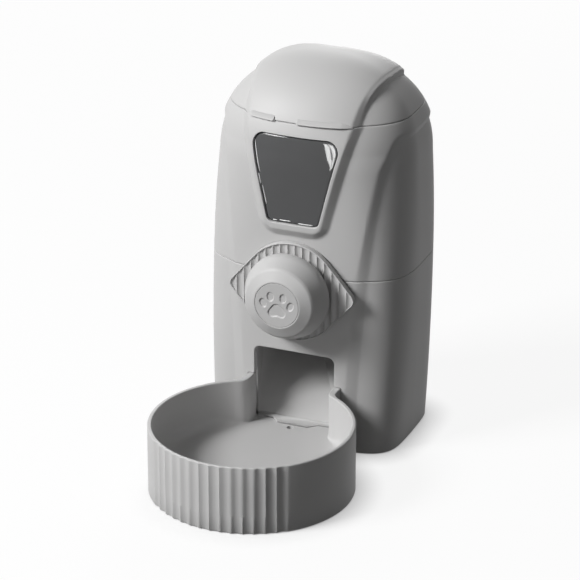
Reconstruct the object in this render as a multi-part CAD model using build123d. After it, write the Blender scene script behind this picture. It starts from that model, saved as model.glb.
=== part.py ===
"""Gravity pet feeder with a cage clamp: one solid per piece, in millimetres, +Z up, front towards -Y."""

import functools
import math
import os

from build123d import *

os.makedirs("parts", exist_ok=True)

# Body outline at the level of the hood and the front mask
BASE_HALF_WIDTH = 65.9
WAIST_HALF_WIDTH = 69.7
SHOULDER_HALF_WIDTH = 68.0
WAIST_Z = 130.0
SHOULDER_Z = 186.0
APEX_Z = 247.3
APEX_Y = 24.1
FRONT_Y = -35.0
REAR_Y = 57.5
SIDE_Y = 9.8
REAR_TUCK = 1.4
BASE_SQUARENESS = 4.84
HOOD_SQUARENESS = 2.13
HOOD_Z = 200.0
REAR_SQUARENESS = 5.6
DOME_ROUNDNESS = 2.24

# Surface levels and walls
CHEEK_STEP = 1.8
CREST_RISE = 3.0
WALL = 2.4
BAND_LOW_Z = 206.6
BAND_HIGH_Z = 210.4

# Front mask edge: half-widths at the foot, over the outlet, at the mid seam, beside the window and at the hood
MASK_EDGE = ((37.9, -1.0), (38.8, 40.0), (40.6, 72.0), (44.8, 120.0), (48.8, 155.0), (53.4, 189.5), (58.4, 210.4))
MASK_REAR_Y = -5.0

# Crest edge on the front face, and its half-widths on the lid from the front edge to the rear
CREST_FOOT_HALF = 17.6
CREST_MIDDLE_HALF = 24.4
CREST_UPPER_HALF = 25.6
CREST_HEAD_HALF = 22.2
CREST_FOOT_Z = 150.4
CREST_MIDDLE_Z = 186.0
CREST_UPPER_Z = 203.0
CREST_FOOT_SLOPE = 2.2
CREST_BLOCK_REAR_Y = -8.0
CREST_PLAN = ((35.2, -40.0), (36.0, -24.6), (37.2, -16.6), (39.5, -6.5), (42.2, 10.3), (42.4, 44.0))
CREST_DRAFT = 2.0
CREST_HOLLOW_HALF = 31.0
CREST_HOLLOW_REAR_Y = 41.0

# Seams
MID_SEAM_Z = 118.6
MID_SEAM_GAP = 0.2
LID_SEAM_Z = 217.8
LID_GAP = 0.3

# Mid seam: spigot of the upper shell inside the lower one, and its screws
SPIGOT_DROP = 5.0
SPIGOT_WALL = 1.8
SPIGOT_LEDGE = 3.0
SPIGOT_CLEARANCE = 0.15
SEAM_SCREW_INSET = 10.2
SEAM_SCREW_FRONT_Y = -4.0
SEAM_SCREW_REAR_Y = 32.0
SEAM_LUG_THICK = 3.0
SEAM_LUG_HALF = 5.0
SEAM_BOSS_RADIUS = 4.3
SEAM_BOSS_HEIGHT = 6.8

# Screws: plain shanks
SCREW_RADIUS = 1.45
SCREW_CLEARANCE = 0.05
SCREW_HEAD_RADIUS = 2.8
SCREW_HEAD_HEIGHT = 2.0
SCREW_LENGTH = 8.5
SCREW_PASS_RADIUS = 1.75
SCREW_DRIVE_RADIUS = 1.3
SCREW_DRIVE_DEPTH = 1.0

# Lid seat, seal and hinge
RIM_HEIGHT = 4.0
RIM_WALL = 1.8
RIM_CLEARANCE = 0.5
SEAL_THICK = 2.0
SEAL_WIDTH = 2.6
SEAL_GAP = 0.3
SEAL_SIDE_CLEARANCE = 0.6
LEDGE_THICK = 1.6
HINGE_BEHIND = 4.7
HINGE_ABOVE = 1.5
HINGE_X = 30.0
HINGE_PIN_RADIUS = 1.5
HINGE_PIN_CLEARANCE = 0.05
HINGE_LUG_RADIUS = 3.6
HINGE_LID_LUG_WIDTH = 7.4
HINGE_SHELL_LUG_WIDTH = 4.0
HINGE_SIDE_GAP = 0.3
LIP_GAP_HALF = 7.5
LIP_END_X = 36.0
LIP_END_SET = 8.2
LIP_MIDDLE_SET = 2.1
LIP_REACH = 4.4
LIP_HEIGHT = 3.8

# Window
WINDOW_TOP_HALF = 30.8
WINDOW_BOTTOM_HALF = 17.0
WINDOW_TOP_Z = 210.1
WINDOW_BOTTOM_Z = 152.9
WINDOW_CUT_DEPTH = 16.0
WINDOW_TOP_CORNER = 8.0
WINDOW_BOTTOM_CORNER = 4.5
WINDOW_WALL = 2.4
WINDOW_SINK = 1.2
PANE_FLANGE = 3.2
PANE_FLANGE_THICK = 1.7
PANE_CLEARANCE = 0.2
HOOK_WIDTH = 8.0
HOOK_REACH = 1.4
HOOK_SIDE_SETBACK = 2.3

# Outlet and neck of the bowl
OUTLET_HALF = 27.6
OUTLET_TOP_Z = 64.7
OUTLET_CORNER = 4.5
NECK_WALL = 4.5
NECK_CLEARANCE = 0.3
NECK_END_Y = -31.8

# Bowl
BOWL_RADIUS = 65.0
BOWL_CENTRE_Y = -102.0
BOWL_RIM_Z = 44.6
BOWL_FLOOR_Z = 14.0
BOWL_WALL = 2.7
BOWL_FLOOR_THICK = 2.4
BOWL_COVE = 8.0
FLUTE_COUNT = 14
FLUTE_PITCH_DEG = 6.2
FLUTE_RADIUS = 7.0
FLUTE_DEPTH = 0.9
DRAIN_RADIUS = 2.2
DRAIN_Y = -41.0

# Chute
RAMP_FOOT_Y = -27.4
RAMP_FOOT_Z = 15.4
RAMP_ANGLE_DEG = 39.6
RAMP_THICK = 2.0
CHUTE_CLEARANCE = 0.2
CHUTE_WALL = 1.8
CHUTE_TOP_Z = 86.0
CHUTE_FRONT_TOP_Z = 67.0
CHUTE_SHOULDER_Y = -14.0
CHUTE_LEG_FRONT_Y = 6.0
CHUTE_LEG_REAR_Y = 14.0
LEDGE_FRONT_Y = -31.4
TONGUE_ROOT_HALF = 16.0
TONGUE_TIP_HALF = 10.4
TONGUE_TIP_Y = -37.5
TONGUE_THICK = 1.2

# Funnel
FUNNEL_RIM_Z = 140.0
FUNNEL_THROAT_Z = 98.0
FUNNEL_END_Z = 84.0
FUNNEL_WALL = 1.8
FUNNEL_CLEARANCE = 0.3
FUNNEL_THROAT_FRONT_Y = -10.0
FUNNEL_THROAT_REAR_Y = 32.0
FUNNEL_THROAT_SQUARENESS = 8.0
FUNNEL_NECK_CLEARANCE = 0.6

# Base cover
COVER_THICK = 2.4
COVER_CLEARANCE = 0.3
COVER_PAD_RADIUS = 4.6
COVER_PAD_TOP_Z = 4.5
COVER_BOSS_RADIUS = 4.4
COVER_BOSS_GAP = 0.1
COVER_BOSS_HEIGHT = 16.0
COVER_SCREW_INSET = 8.2
COVER_SCREW_FRONT_Y = -6.0
COVER_SCREW_REAR_Y = 32.0
COVER_SINK_RADIUS = 3.2
COVER_SINK_DEPTH = 2.4
SOCKET_WALL = 1.8
SOCKET_HEIGHT = 4.0

# Clamp: distances along the knob axis are measured forward from the front face
KNOB_Z = 107.9
STUD_RADIUS = 4.0
STUD_END = 23.0
STUD_HEAD_FLATS = 13.0
STUD_HEAD_THICK = 5.3
STUD_HOLE_CLEARANCE = 0.1
STUD_NUT_THICK = 4.0
NUT_BORE_CLEARANCE = 0.02
NUT_POCKET_RADIUS = 8.6
NUT_POCKET_DEPTH = 4.4
STUD_BOSS_RADIUS = 10.0
STUD_BORE_DEPTH = 30.0
STUD_BORE_AHEAD = 10.0
STUD_BOSS_THICK = 3.0
STUD_WASHER_RADIUS = 8.0
STUD_WASHER_THICK = 1.6
PLATE_GAP = 0.4
PLATE_THICK = 4.0
PLATE_RADIUS = 33.2
PLATE_TIP_RADIUS = 6.0
PLATE_TIP_X = 36.1
PLATE_HOLE_RADIUS = 4.4
PLATE_FLUTE_PITCH = 5.0
PLATE_FLUTE_COUNT = 17
PLATE_FLUTE_RADIUS = 3.4
PLATE_FLUTE_DEPTH = 1.1
PLATE_RIM = 0.9
KNOB_WASHER_RADIUS = 9.0
KNOB_WASHER_THICK = 1.0
KNOB_BACK_RADIUS = 25.8
KNOB_RADIUS = 28.1
KNOB_WIDE_START = 9.5
KNOB_WIDE_END = 12.5
KNOB_CREASE_RADIUS = 22.4
KNOB_CREASE = 24.6
KNOB_FACE = 27.8
KNOB_WALL = 2.6
KNOB_HUB_RADIUS = 10.5
KNOB_HOLLOW_END = 21.0
INSERT_RADIUS = 7.0
INSERT_LENGTH = 14.4
INSERT_BORE_CLEARANCE = 0.06
INSERT_SEAT_CLEARANCE = 0.02
CAP_RADIUS = 14.7
CAP_CLEARANCE = 0.2
CAP_THICK = 2.0
CAP_SINK = 0.4
PAW_DEPTH = 0.7
PAW_TOE_LONG = 2.9
PAW_TOE_SHORT = 2.1
PAW_INNER_TOE_X = 4.3
PAW_INNER_TOE_UP = 5.2
PAW_OUTER_TOE_X = 9.2
PAW_OUTER_TOE_UP = 0.4
PAW_PAD_RADIUS = 3.4
PAW_PAD_DROP = 2.6
PAW_LOBE_RADIUS = 2.7
PAW_LOBE_X = 3.3
PAW_LOBE_DROP = 5.6

INNER_GROW = -(CHEEK_STEP + WALL)
SEAM_SCREW_X = WAIST_HALF_WIDTH - SEAM_SCREW_INSET
COVER_SCREW_X = BASE_HALF_WIDTH - COVER_SCREW_INSET
FAR = 300.0
OUTLINE_STEPS = (0, 10, 22, 36, 50, 66, 90, 114, 130, 144, 158, 170, 180)


def outline_sizes(z, grow):
    """Half-width, front, rear, widest place, squareness, rear tuck of the outline at a height, grown outward."""
    squareness = BASE_SQUARENESS + (HOOD_SQUARENESS - BASE_SQUARENESS) * min(max(z, 0.0) / HOOD_Z, 1.0)
    shrink = 1.0
    if z < WAIST_Z:
        half = WAIST_HALF_WIDTH - (WAIST_HALF_WIDTH - BASE_HALF_WIDTH) * ((WAIST_Z - z) / WAIST_Z) ** 2
    elif z < SHOULDER_Z:
        part = (z - WAIST_Z) / (SHOULDER_Z - WAIST_Z)
        half = WAIST_HALF_WIDTH - (WAIST_HALF_WIDTH - SHOULDER_HALF_WIDTH) * part**2
    else:
        half = SHOULDER_HALF_WIDTH
        part = (z - SHOULDER_Z) / (APEX_Z + grow - SHOULDER_Z)
        shrink = (1.0 - part**DOME_ROUNDNESS) ** (1.0 / DOME_ROUNDNESS)
    front = APEX_Y + (FRONT_Y - grow - APEX_Y) * shrink
    rear = APEX_Y + (REAR_Y + grow - APEX_Y) * shrink
    side = APEX_Y + (SIDE_Y - APEX_Y) * shrink
    return (half + grow) * shrink, front, rear, side, squareness, REAR_TUCK * shrink


def rear_y(z, grow):
    """Where the rear of the body lies at a height."""
    return outline_sizes(z, grow)[2]


def outline_face(z, half, front, rear, side, squareness, tuck):
    """Flat face at height z: one curve round the front and one round the rear."""

    def curve(end, power, narrow):
        points = []
        for degrees in OUTLINE_STEPS:
            angle = math.radians(degrees)
            across = abs(math.cos(angle)) ** (2.0 / power) if degrees != 90 else 0.0
            ahead = math.sin(angle) ** (2.0 / power) if 0 < degrees < 180 else 0.0
            x = math.copysign(across, degrees - 90) * (half - narrow * ahead)
            points.append((x, side + (end - side) * ahead))
        return points

    edges = [
        Spline(*curve(front, squareness, 0.0), tangents=[(0, -1), (0, 1)]),
        Spline(*curve(rear, REAR_SQUARENESS, tuck)[::-1], tangents=[(0, 1), (0, -1)]),
    ]
    return Pos(0, 0, z) * Face(Wire(edges))


def body_face(z, grow):
    """Body outline at a height as a flat face."""
    return outline_face(z, *outline_sizes(z, grow))


@functools.lru_cache(maxsize=None)
def hull(grow, bottom, top):
    """Body below the lid, grown outward, between two heights."""
    stations = [20.0, 50.0, 85.0, MID_SEAM_Z, 155.0, 182.0, 201.0]
    heights = [bottom] + [z for z in stations if bottom + 5 < z < top - 5] + [top]
    return loft([body_face(z, grow) for z in heights])


def dome(grow, bottom):
    """Body above the lid seam, grown outward, up to its apex."""
    top = APEX_Z + grow
    heights = [bottom + (top - bottom) * share for share in (0.0, 0.32, 0.58, 0.8, 0.92)]
    return loft([body_face(z, grow) for z in heights] + [Vertex(0, APEX_Y, top)])


def block(x0, x1, y0, y1, z0, z1):
    """Box between two corners."""
    return Pos((x0 + x1) / 2, (y0 + y1) / 2, (z0 + z1) / 2) * Box(x1 - x0, y1 - y0, z1 - z0)


def between(z0, z1):
    """Wide slab between two heights."""
    return block(-FAR, FAR, -FAR, FAR, z0, z1)


def along_y(face, y0, y1):
    """Face drawn in x and z, drawn out from y0 to y1."""
    return extrude(Plane.XZ.offset(-y1) * face, amount=y1 - y0)


def along_x(face, x0, x1):
    """Face drawn in y and z, drawn out from x0 to x1."""
    return extrude(Plane.YZ.offset(x0) * face, amount=x1 - x0)


def along_z(face, z0, z1):
    """Face drawn in x and y, drawn out from z0 to z1."""
    return extrude(Plane.XY.offset(z0) * face, amount=z1 - z0)


def rod(x, y, z0, z1, radius):
    """Upright cylinder."""
    return Pos(x, y, (z0 + z1) / 2) * Cylinder(radius, z1 - z0)


def polygon(*points):
    """Flat face through the points."""
    return make_face(Polyline(*points, close=True))


def on_knob_axis(shape):
    """Carry a shape made round +Z, with z as the distance in front of the face, to the knob axis."""
    return Pos(0, FRONT_Y, KNOB_Z) * Rot(90, 0, 0) * shape


def ring(radius, bore, z0, z1):
    """Round washer shape about the z axis."""
    return rod(0, 0, z0, z1, radius) - rod(0, 0, z0 - 1, z1 + 1, bore)


def write(name, *solids):
    """Write one node."""
    shape = solids[0] if len(solids) == 1 else Compound(children=list(solids))
    export_step(shape, "parts/%s.step" % name)


def window_face(grow):
    """Window trapezoid in x and z with rounded corners, grown outward."""
    lean = (WINDOW_TOP_HALF - WINDOW_BOTTOM_HALF) / (WINDOW_TOP_Z - WINDOW_BOTTOM_Z)
    out = grow * math.hypot(1.0, lean)
    top_half = WINDOW_TOP_HALF + out + lean * grow
    foot_half = WINDOW_BOTTOM_HALF + out - lean * grow
    top = WINDOW_TOP_Z + grow
    foot = WINDOW_BOTTOM_Z - grow
    face = polygon((-foot_half, foot), (foot_half, foot), (top_half, top), (-top_half, top))
    middle = (top + foot) / 2
    uppers = [v for v in face.vertices() if v.Y > middle]
    face = fillet(uppers, WINDOW_TOP_CORNER + max(grow, 0.0))
    lowers = sorted(face.vertices(), key=lambda v: v.Y)[:2]
    return fillet(lowers, WINDOW_BOTTOM_CORNER + max(grow, 0.0))


def window_half(z):
    """Half-width of the window at a height."""
    lean = (WINDOW_TOP_HALF - WINDOW_BOTTOM_HALF) / (WINDOW_TOP_Z - WINDOW_BOTTOM_Z)
    return WINDOW_BOTTOM_HALF + lean * (z - WINDOW_BOTTOM_Z)


def mirrored_face(y, right):
    """Face in the plane at y, facing the front: straight foot and top, and a curve up each side."""
    left = [(-x, z) for x, z in right]
    edges = [
        Line(left[0], right[0]),
        Spline(*right),
        Line(right[-1], left[-1]),
        Spline(*left[::-1]),
    ]
    return Plane.XZ.offset(-y) * Face(Wire(edges))


def mask_block():
    """Block whose sides are the edges of the front mask."""
    face = mirrored_face(MASK_REAR_Y, MASK_EDGE)
    return extrude(face, amount=MASK_REAR_Y - FRONT_Y + 20)


def crest_block():
    """Widening block whose sides are the edges of the crest on the front, round the window."""

    def section(y):
        back = y - (FRONT_Y - CREST_RISE)
        right = [
            (CREST_FOOT_HALF + back, CREST_FOOT_Z - CREST_FOOT_SLOPE * back),
            (CREST_MIDDLE_HALF + back, CREST_MIDDLE_Z),
            (CREST_UPPER_HALF + back, CREST_UPPER_Z),
            (CREST_HEAD_HALF + back, LID_SEAM_Z + 3),
        ]
        return mirrored_face(y, right)

    return loft([section(FRONT_Y - CREST_RISE - 2.0), section(CREST_BLOCK_REAR_Y)], ruled=True)


def crest_slab():
    """Block over the lid whose sides are the edges of the crest."""

    def section(z, grow):
        right = [(x + grow, y) for x, y in CREST_PLAN]
        left = [(-x, y) for x, y in right]
        edges = [
            Line(left[0], right[0]),
            Spline(*right),
            Line(right[-1], left[-1]),
            Spline(*left[::-1]),
        ]
        return Pos(0, 0, z) * Face(Wire(edges))

    return loft([section(LID_SEAM_Z - 2, CREST_DRAFT), section(APEX_Z + 8, -CREST_DRAFT)], ruled=True)


def shell_outside():
    """Outer form of the body below the lid seam: cheeks, band, hood, mask and crest."""
    hood = hull(0.0, 0.0, LID_SEAM_Z)
    cheeks = hull(-CHEEK_STEP, 0.0, LID_SEAM_Z) & between(-1, BAND_LOW_Z)
    band = loft([body_face(BAND_LOW_Z, -CHEEK_STEP), body_face(BAND_HIGH_Z, 0.0)], ruled=True)
    mask = hood & mask_block()
    crest = hull(CREST_RISE, 0.0, LID_SEAM_Z) & crest_block()
    return cheeks + band + (hood & between(BAND_HIGH_Z, LID_SEAM_Z + 1)) + mask + crest


def bowl_neck_block(grow, y0, y1, z0, z1):
    """Block the width of the neck of the bowl, grown sideways."""
    half = OUTLET_HALF + NECK_WALL + grow
    return block(-half, half, y0, y1, z0, z1)


def screw(x, y, under_head):
    """Self-tapping screw, head down, with the underside of its head at a height."""
    shape = rod(x, y, under_head - SCREW_HEAD_HEIGHT, under_head, SCREW_HEAD_RADIUS)
    shape += rod(x, y, under_head - 0.5, under_head + SCREW_LENGTH, SCREW_RADIUS)
    foot = under_head - SCREW_HEAD_HEIGHT
    return shape - rod(x, y, foot - 1, foot + SCREW_DRIVE_DEPTH, SCREW_DRIVE_RADIUS)


def seam_screw_places():
    """Centres of the four seam screws."""
    return [(s * SEAM_SCREW_X, y) for s in (-1, 1) for y in (SEAM_SCREW_FRONT_Y, SEAM_SCREW_REAR_Y)]


def cover_screw_places():
    """Centres of the four base screws."""
    return [(s * COVER_SCREW_X, y) for s in (-1, 1) for y in (COVER_SCREW_FRONT_Y, COVER_SCREW_REAR_Y)]


SPIGOT_END_Z = MID_SEAM_Z - SPIGOT_DROP
HINGE_Y = rear_y(LID_SEAM_Z, 0.0) + HINGE_BEHIND
HINGE_Z = LID_SEAM_Z + HINGE_ABOVE
SHELL_LUG_ROOT_Y = rear_y(LID_SEAM_Z - 18, INNER_GROW) + 0.8
LID_LUG_ROOT_Y = rear_y(LID_SEAM_Z + 10, 0.0) - 0.4
LUG_TOP_Z = SPIGOT_END_Z - MID_SEAM_GAP
LUG_FOOT_Z = LUG_TOP_Z - SEAM_LUG_THICK
INNER_FRONT_Y = FRONT_Y - INNER_GROW
SILL_Z = BOWL_FLOOR_Z - BOWL_FLOOR_THICK - NECK_CLEARANCE
NECK_TOP_Z = BOWL_RIM_Z + NECK_CLEARANCE


def make_lower_shell(outside):
    """Lower half of the body with outlet, stud boss, seam lugs and cover bosses."""
    shape = outside & between(-1, MID_SEAM_Z)
    shape -= hull(INNER_GROW, -2.0, MID_SEAM_Z + 2)
    shape += on_knob_axis(rod(0, 0, INNER_GROW - STUD_BOSS_THICK, INNER_GROW + 1, STUD_BOSS_RADIUS))
    keep = hull(-CHEEK_STEP - 0.6, -2.0, MID_SEAM_Z + 2)
    for x, y in seam_screw_places():
        side = math.copysign(1, x)
        x0, x1 = sorted((side * (SEAM_SCREW_X - SEAM_LUG_HALF), side * (WAIST_HALF_WIDTH + 2)))
        lug = block(x0, x1, y - SEAM_LUG_HALF, y + SEAM_LUG_HALF, LUG_FOOT_Z, LUG_TOP_Z) & keep
        shape += lug
        shape -= rod(x, y, LUG_FOOT_Z - 1, LUG_TOP_Z + 1, SCREW_PASS_RADIUS)
    boss_foot = COVER_PAD_TOP_Z + COVER_BOSS_GAP
    for x, y in cover_screw_places():
        shape += rod(x, y, boss_foot, boss_foot + COVER_BOSS_HEIGHT, COVER_BOSS_RADIUS) & keep
        shape -= rod(x, y, boss_foot - 1, boss_foot + COVER_BOSS_HEIGHT - 3, SCREW_RADIUS + SCREW_CLEARANCE)
    outlet = polygon(
        (-OUTLET_HALF, BOWL_FLOOR_Z),
        (OUTLET_HALF, BOWL_FLOOR_Z),
        (OUTLET_HALF, OUTLET_TOP_Z),
        (-OUTLET_HALF, OUTLET_TOP_Z),
    )
    outlet = fillet([v for v in outlet.vertices() if v.Y > BOWL_RIM_Z], OUTLET_CORNER)
    shape -= along_y(outlet, FRONT_Y - 5, INNER_FRONT_Y + 3)
    shape -= bowl_neck_block(NECK_CLEARANCE, FRONT_Y - 5, INNER_FRONT_Y + 3, SILL_Z, NECK_TOP_Z)
    shape -= on_knob_axis(rod(0, 0, -STUD_BORE_DEPTH, STUD_BORE_AHEAD, STUD_RADIUS + STUD_HOLE_CLEARANCE))
    shape -= on_knob_axis(rod(0, 0, -NUT_POCKET_DEPTH, STUD_BORE_AHEAD, NUT_POCKET_RADIUS))
    return shape


def make_upper_shell(outside):
    """Upper half of the hopper with window, lid rim, hinge lugs and seam spigot."""
    shape = outside & between(MID_SEAM_Z + MID_SEAM_GAP, LID_SEAM_Z)
    shape -= hull(INNER_GROW, MID_SEAM_Z - 6, LID_SEAM_Z + 2)
    pocket = hull(CREST_RISE - WINDOW_WALL, MID_SEAM_Z, LID_SEAM_Z + 2)
    pocket &= along_y(window_face(PANE_FLANGE + 2 * PANE_CLEARANCE), FRONT_Y - 10, INNER_FRONT_Y + WINDOW_CUT_DEPTH)
    shape -= pocket
    shape -= along_y(window_face(0.0), FRONT_Y - 10, INNER_FRONT_Y + WINDOW_CUT_DEPTH)
    shape += window_hooks()
    rim_out = -(WALL + RIM_CLEARANCE)
    rim_top = LID_SEAM_Z + RIM_HEIGHT
    rim = hull(rim_out, LID_SEAM_Z - 3, rim_top) - hull(rim_out - RIM_WALL, LID_SEAM_Z - 6, rim_top + 2)
    shape += rim
    inner = hull(INNER_GROW - SPIGOT_CLEARANCE - SPIGOT_WALL, SPIGOT_END_Z - 5, MID_SEAM_Z + 12)
    spigot = hull(INNER_GROW - SPIGOT_CLEARANCE, SPIGOT_END_Z - 6, MID_SEAM_Z + 6)
    spigot &= between(SPIGOT_END_Z, MID_SEAM_Z + MID_SEAM_GAP + 0.5)
    ledge = hull(INNER_GROW + 0.5, MID_SEAM_Z - 6, MID_SEAM_Z + 10)
    ledge &= between(MID_SEAM_Z + MID_SEAM_GAP, MID_SEAM_Z + SPIGOT_LEDGE)
    stud_room = on_knob_axis(rod(0, 0, INNER_GROW - STUD_BOSS_THICK - 2, 1, STUD_BOSS_RADIUS + NECK_CLEARANCE))
    shape += (spigot - inner - stud_room) + (ledge - inner)
    for x, y in seam_screw_places():
        boss_top = SPIGOT_END_Z + SEAM_BOSS_HEIGHT
        boss = rod(x, y, SPIGOT_END_Z, boss_top, SEAM_BOSS_RADIUS)
        shape += boss & hull(INNER_GROW - SPIGOT_CLEARANCE - 0.3, SPIGOT_END_Z - 6, MID_SEAM_Z + 10)
        shape -= rod(x, y, SPIGOT_END_Z - 1, boss_top - 0.8, SCREW_RADIUS + SCREW_CLEARANCE)
    for x0, x1 in shell_lug_spans():
        lug = hinge_lug(SHELL_LUG_ROOT_Y, LID_SEAM_Z - 18, LID_SEAM_Z - 3)
        shape += along_x(lug, x0, x1) - hinge_bore(x0 - 1, x1 + 1, HINGE_PIN_CLEARANCE)
    return shape


def window_hooks():
    """Three small hooks of the upper shell that reach behind the pane flange."""
    behind = FRONT_Y - (CREST_RISE - WINDOW_WALL) + PANE_FLANGE_THICK + PANE_CLEARANCE
    front = behind + HOOK_SIDE_SETBACK
    back = INNER_FRONT_Y + 1.0
    middle = (WINDOW_TOP_Z + WINDOW_BOTTOM_Z) / 2
    edge = window_half(middle) + PANE_FLANGE
    shapes = []
    for side in (-1, 1):
        x0, x1 = sorted((side * (edge - HOOK_REACH), side * (edge + 3.0)))
        shapes.append(block(x0, x1, front, back, middle - HOOK_WIDTH / 2, middle + HOOK_WIDTH / 2))
    foot = WINDOW_BOTTOM_Z - PANE_FLANGE
    shapes.append(block(-HOOK_WIDTH / 2, HOOK_WIDTH / 2, behind, back, foot - 3.0, foot + HOOK_REACH))
    return shapes


def hinge_lug(wall_y, foot, top):
    """Hinge lug outline in y and z, from a wall to the hinge axis."""
    ends = Pos(HINGE_Y, HINGE_Z) * Circle(HINGE_LUG_RADIUS)
    edges = list(ends.edges()) + [Line((wall_y, foot), (wall_y, top))]
    return make_hull(edges)


def hinge_bore(x0, x1, clearance):
    """Cylinder along x about the hinge axis."""
    reach = x1 - x0
    centre = Pos((x0 + x1) / 2, HINGE_Y, HINGE_Z) * Rot(0, 90, 0)
    return centre * Cylinder(HINGE_PIN_RADIUS + clearance, reach)


def lid_lug_spans():
    """Where each lug of the lid begins and ends in x."""
    half = HINGE_LID_LUG_WIDTH / 2
    return [(s * HINGE_X - half, s * HINGE_X + half) for s in (-1, 1)]


def shell_lug_spans():
    """Where each lug of the upper shell begins and ends in x."""
    spans = []
    for x0, x1 in lid_lug_spans():
        spans.append((x0 - HINGE_SIDE_GAP - HINGE_SHELL_LUG_WIDTH, x0 - HINGE_SIDE_GAP))
        spans.append((x1 + HINGE_SIDE_GAP, x1 + HINGE_SIDE_GAP + HINGE_SHELL_LUG_WIDTH))
    return spans


def finger_lip(side):
    """Crescent lip at the front edge of the lid on one side."""

    def section(z, reach):
        edge_y = outline_sizes(z, CREST_RISE)[1]
        points = [
            (side * LIP_GAP_HALF, edge_y + 3.0),
            (side * LIP_GAP_HALF, edge_y + 0.4 - reach),
            (side * (LIP_GAP_HALF + LIP_END_X) / 2, edge_y + LIP_MIDDLE_SET - 0.62 * reach),
            (side * LIP_END_X, edge_y + LIP_END_SET),
        ]
        edges = [
            Line(points[0], points[1]),
            ThreePointArc(points[1], points[2], points[3]),
            Line(points[3], points[0]),
        ]
        return Pos(0, 0, z) * Face(Wire(edges))

    foot = LID_SEAM_Z + LID_GAP
    return loft([section(foot, LIP_REACH), section(foot + LIP_HEIGHT, 0.0)], ruled=True)


SEAL_FOOT_Z = LID_SEAM_Z + RIM_HEIGHT + SEAL_GAP
SEAL_TOP_Z = SEAL_FOOT_Z + SEAL_THICK


def make_lid_shell():
    """Domed lid with crest, finger lips, seal ledge and hinge lugs."""
    outside = dome(0.0, LID_SEAM_Z)
    crest = dome(CREST_RISE, LID_SEAM_Z) & crest_slab()
    shape = outside + crest + finger_lip(-1) + finger_lip(1)
    for x0, x1 in lid_lug_spans():
        shape += along_x(hinge_lug(LID_LUG_ROOT_Y, LID_SEAM_Z + 1, LID_SEAM_Z + 10), x0, x1)
    shape -= dome(-WALL, LID_SEAM_Z - 1)
    hollow = dome(CREST_RISE - WALL, LID_SEAM_Z - 1)
    hollow_foot = SEAL_TOP_Z + LEDGE_THICK + 0.5
    hollow &= block(-CREST_HOLLOW_HALF, CREST_HOLLOW_HALF, -FAR, CREST_HOLLOW_REAR_Y, hollow_foot, FAR)
    shape -= hollow
    ledge_face = body_face(SEAL_TOP_Z, -WALL + 0.6)
    hole_face = body_face(SEAL_TOP_Z, -WALL - SEAL_SIDE_CLEARANCE - SEAL_WIDTH)
    shape += extrude(ledge_face, amount=LEDGE_THICK) - extrude(hole_face, amount=LEDGE_THICK + 1)
    shape &= between(LID_SEAM_Z + LID_GAP, FAR) + block(-FAR, FAR, rear_y(HINGE_Z - HINGE_LUG_RADIUS, 0.0) + 0.6, FAR, 0, FAR)
    for x0, x1 in lid_lug_spans():
        shape -= hinge_bore(x0 - 1, x1 + 1, HINGE_PIN_CLEARANCE)
    return shape


def make_lid_seal():
    """Flat soft ring under the ledge of the lid."""
    outer = body_face(SEAL_TOP_Z, -WALL - SEAL_SIDE_CLEARANCE)
    inner = body_face(SEAL_TOP_Z, -WALL - SEAL_SIDE_CLEARANCE - SEAL_WIDTH)
    shape = extrude(outer, amount=-SEAL_THICK) - extrude(inner, amount=-SEAL_THICK - 1)
    return shape


def make_window_pane():
    """Pane with a plug in the opening and a flange behind the wall."""
    plug = hull(CREST_RISE - WINDOW_SINK, MID_SEAM_Z, LID_SEAM_Z + 2)
    plug &= along_y(window_face(-PANE_CLEARANCE), FRONT_Y - 10, INNER_FRONT_Y + WINDOW_CUT_DEPTH)
    flange = hull(CREST_RISE - WINDOW_WALL - PANE_CLEARANCE, MID_SEAM_Z, LID_SEAM_Z + 2)
    flange &= along_y(window_face(PANE_FLANGE), FRONT_Y - 10, INNER_FRONT_Y + WINDOW_CUT_DEPTH)
    back = hull(CREST_RISE - WINDOW_WALL - PANE_FLANGE_THICK, MID_SEAM_Z - 2, LID_SEAM_Z + 4)
    return (plug + flange) - back


def make_hopper_funnel():
    """Funnel from the hopper outline down to the chute width."""

    def sections(inset, lift):
        half, front, rear, side, squareness, tuck = outline_sizes(FUNNEL_RIM_Z, INNER_GROW - FUNNEL_CLEARANCE - inset)
        rim = outline_face(FUNNEL_RIM_Z + lift, half, front, rear, side, squareness, tuck)
        throat_half = OUTLET_HALF + CHUTE_CLEARANCE - FUNNEL_NECK_CLEARANCE - inset
        front = FUNNEL_THROAT_FRONT_Y + inset
        rear = FUNNEL_THROAT_REAR_Y - inset
        throat = outline_face(
            FUNNEL_THROAT_Z, throat_half, front, rear, SIDE_Y, FUNNEL_THROAT_SQUARENESS, 0.2
        )
        return rim, throat

    rim, throat = sections(0.0, 0.0)
    shape = loft([throat, rim], ruled=True) + extrude(throat, amount=FUNNEL_END_Z - FUNNEL_THROAT_Z)
    rim, throat = sections(FUNNEL_WALL, 0.0)
    shape -= loft([throat, rim], ruled=True)
    shape -= extrude(throat, amount=FUNNEL_END_Z - FUNNEL_THROAT_Z - 1)
    return shape


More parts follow.
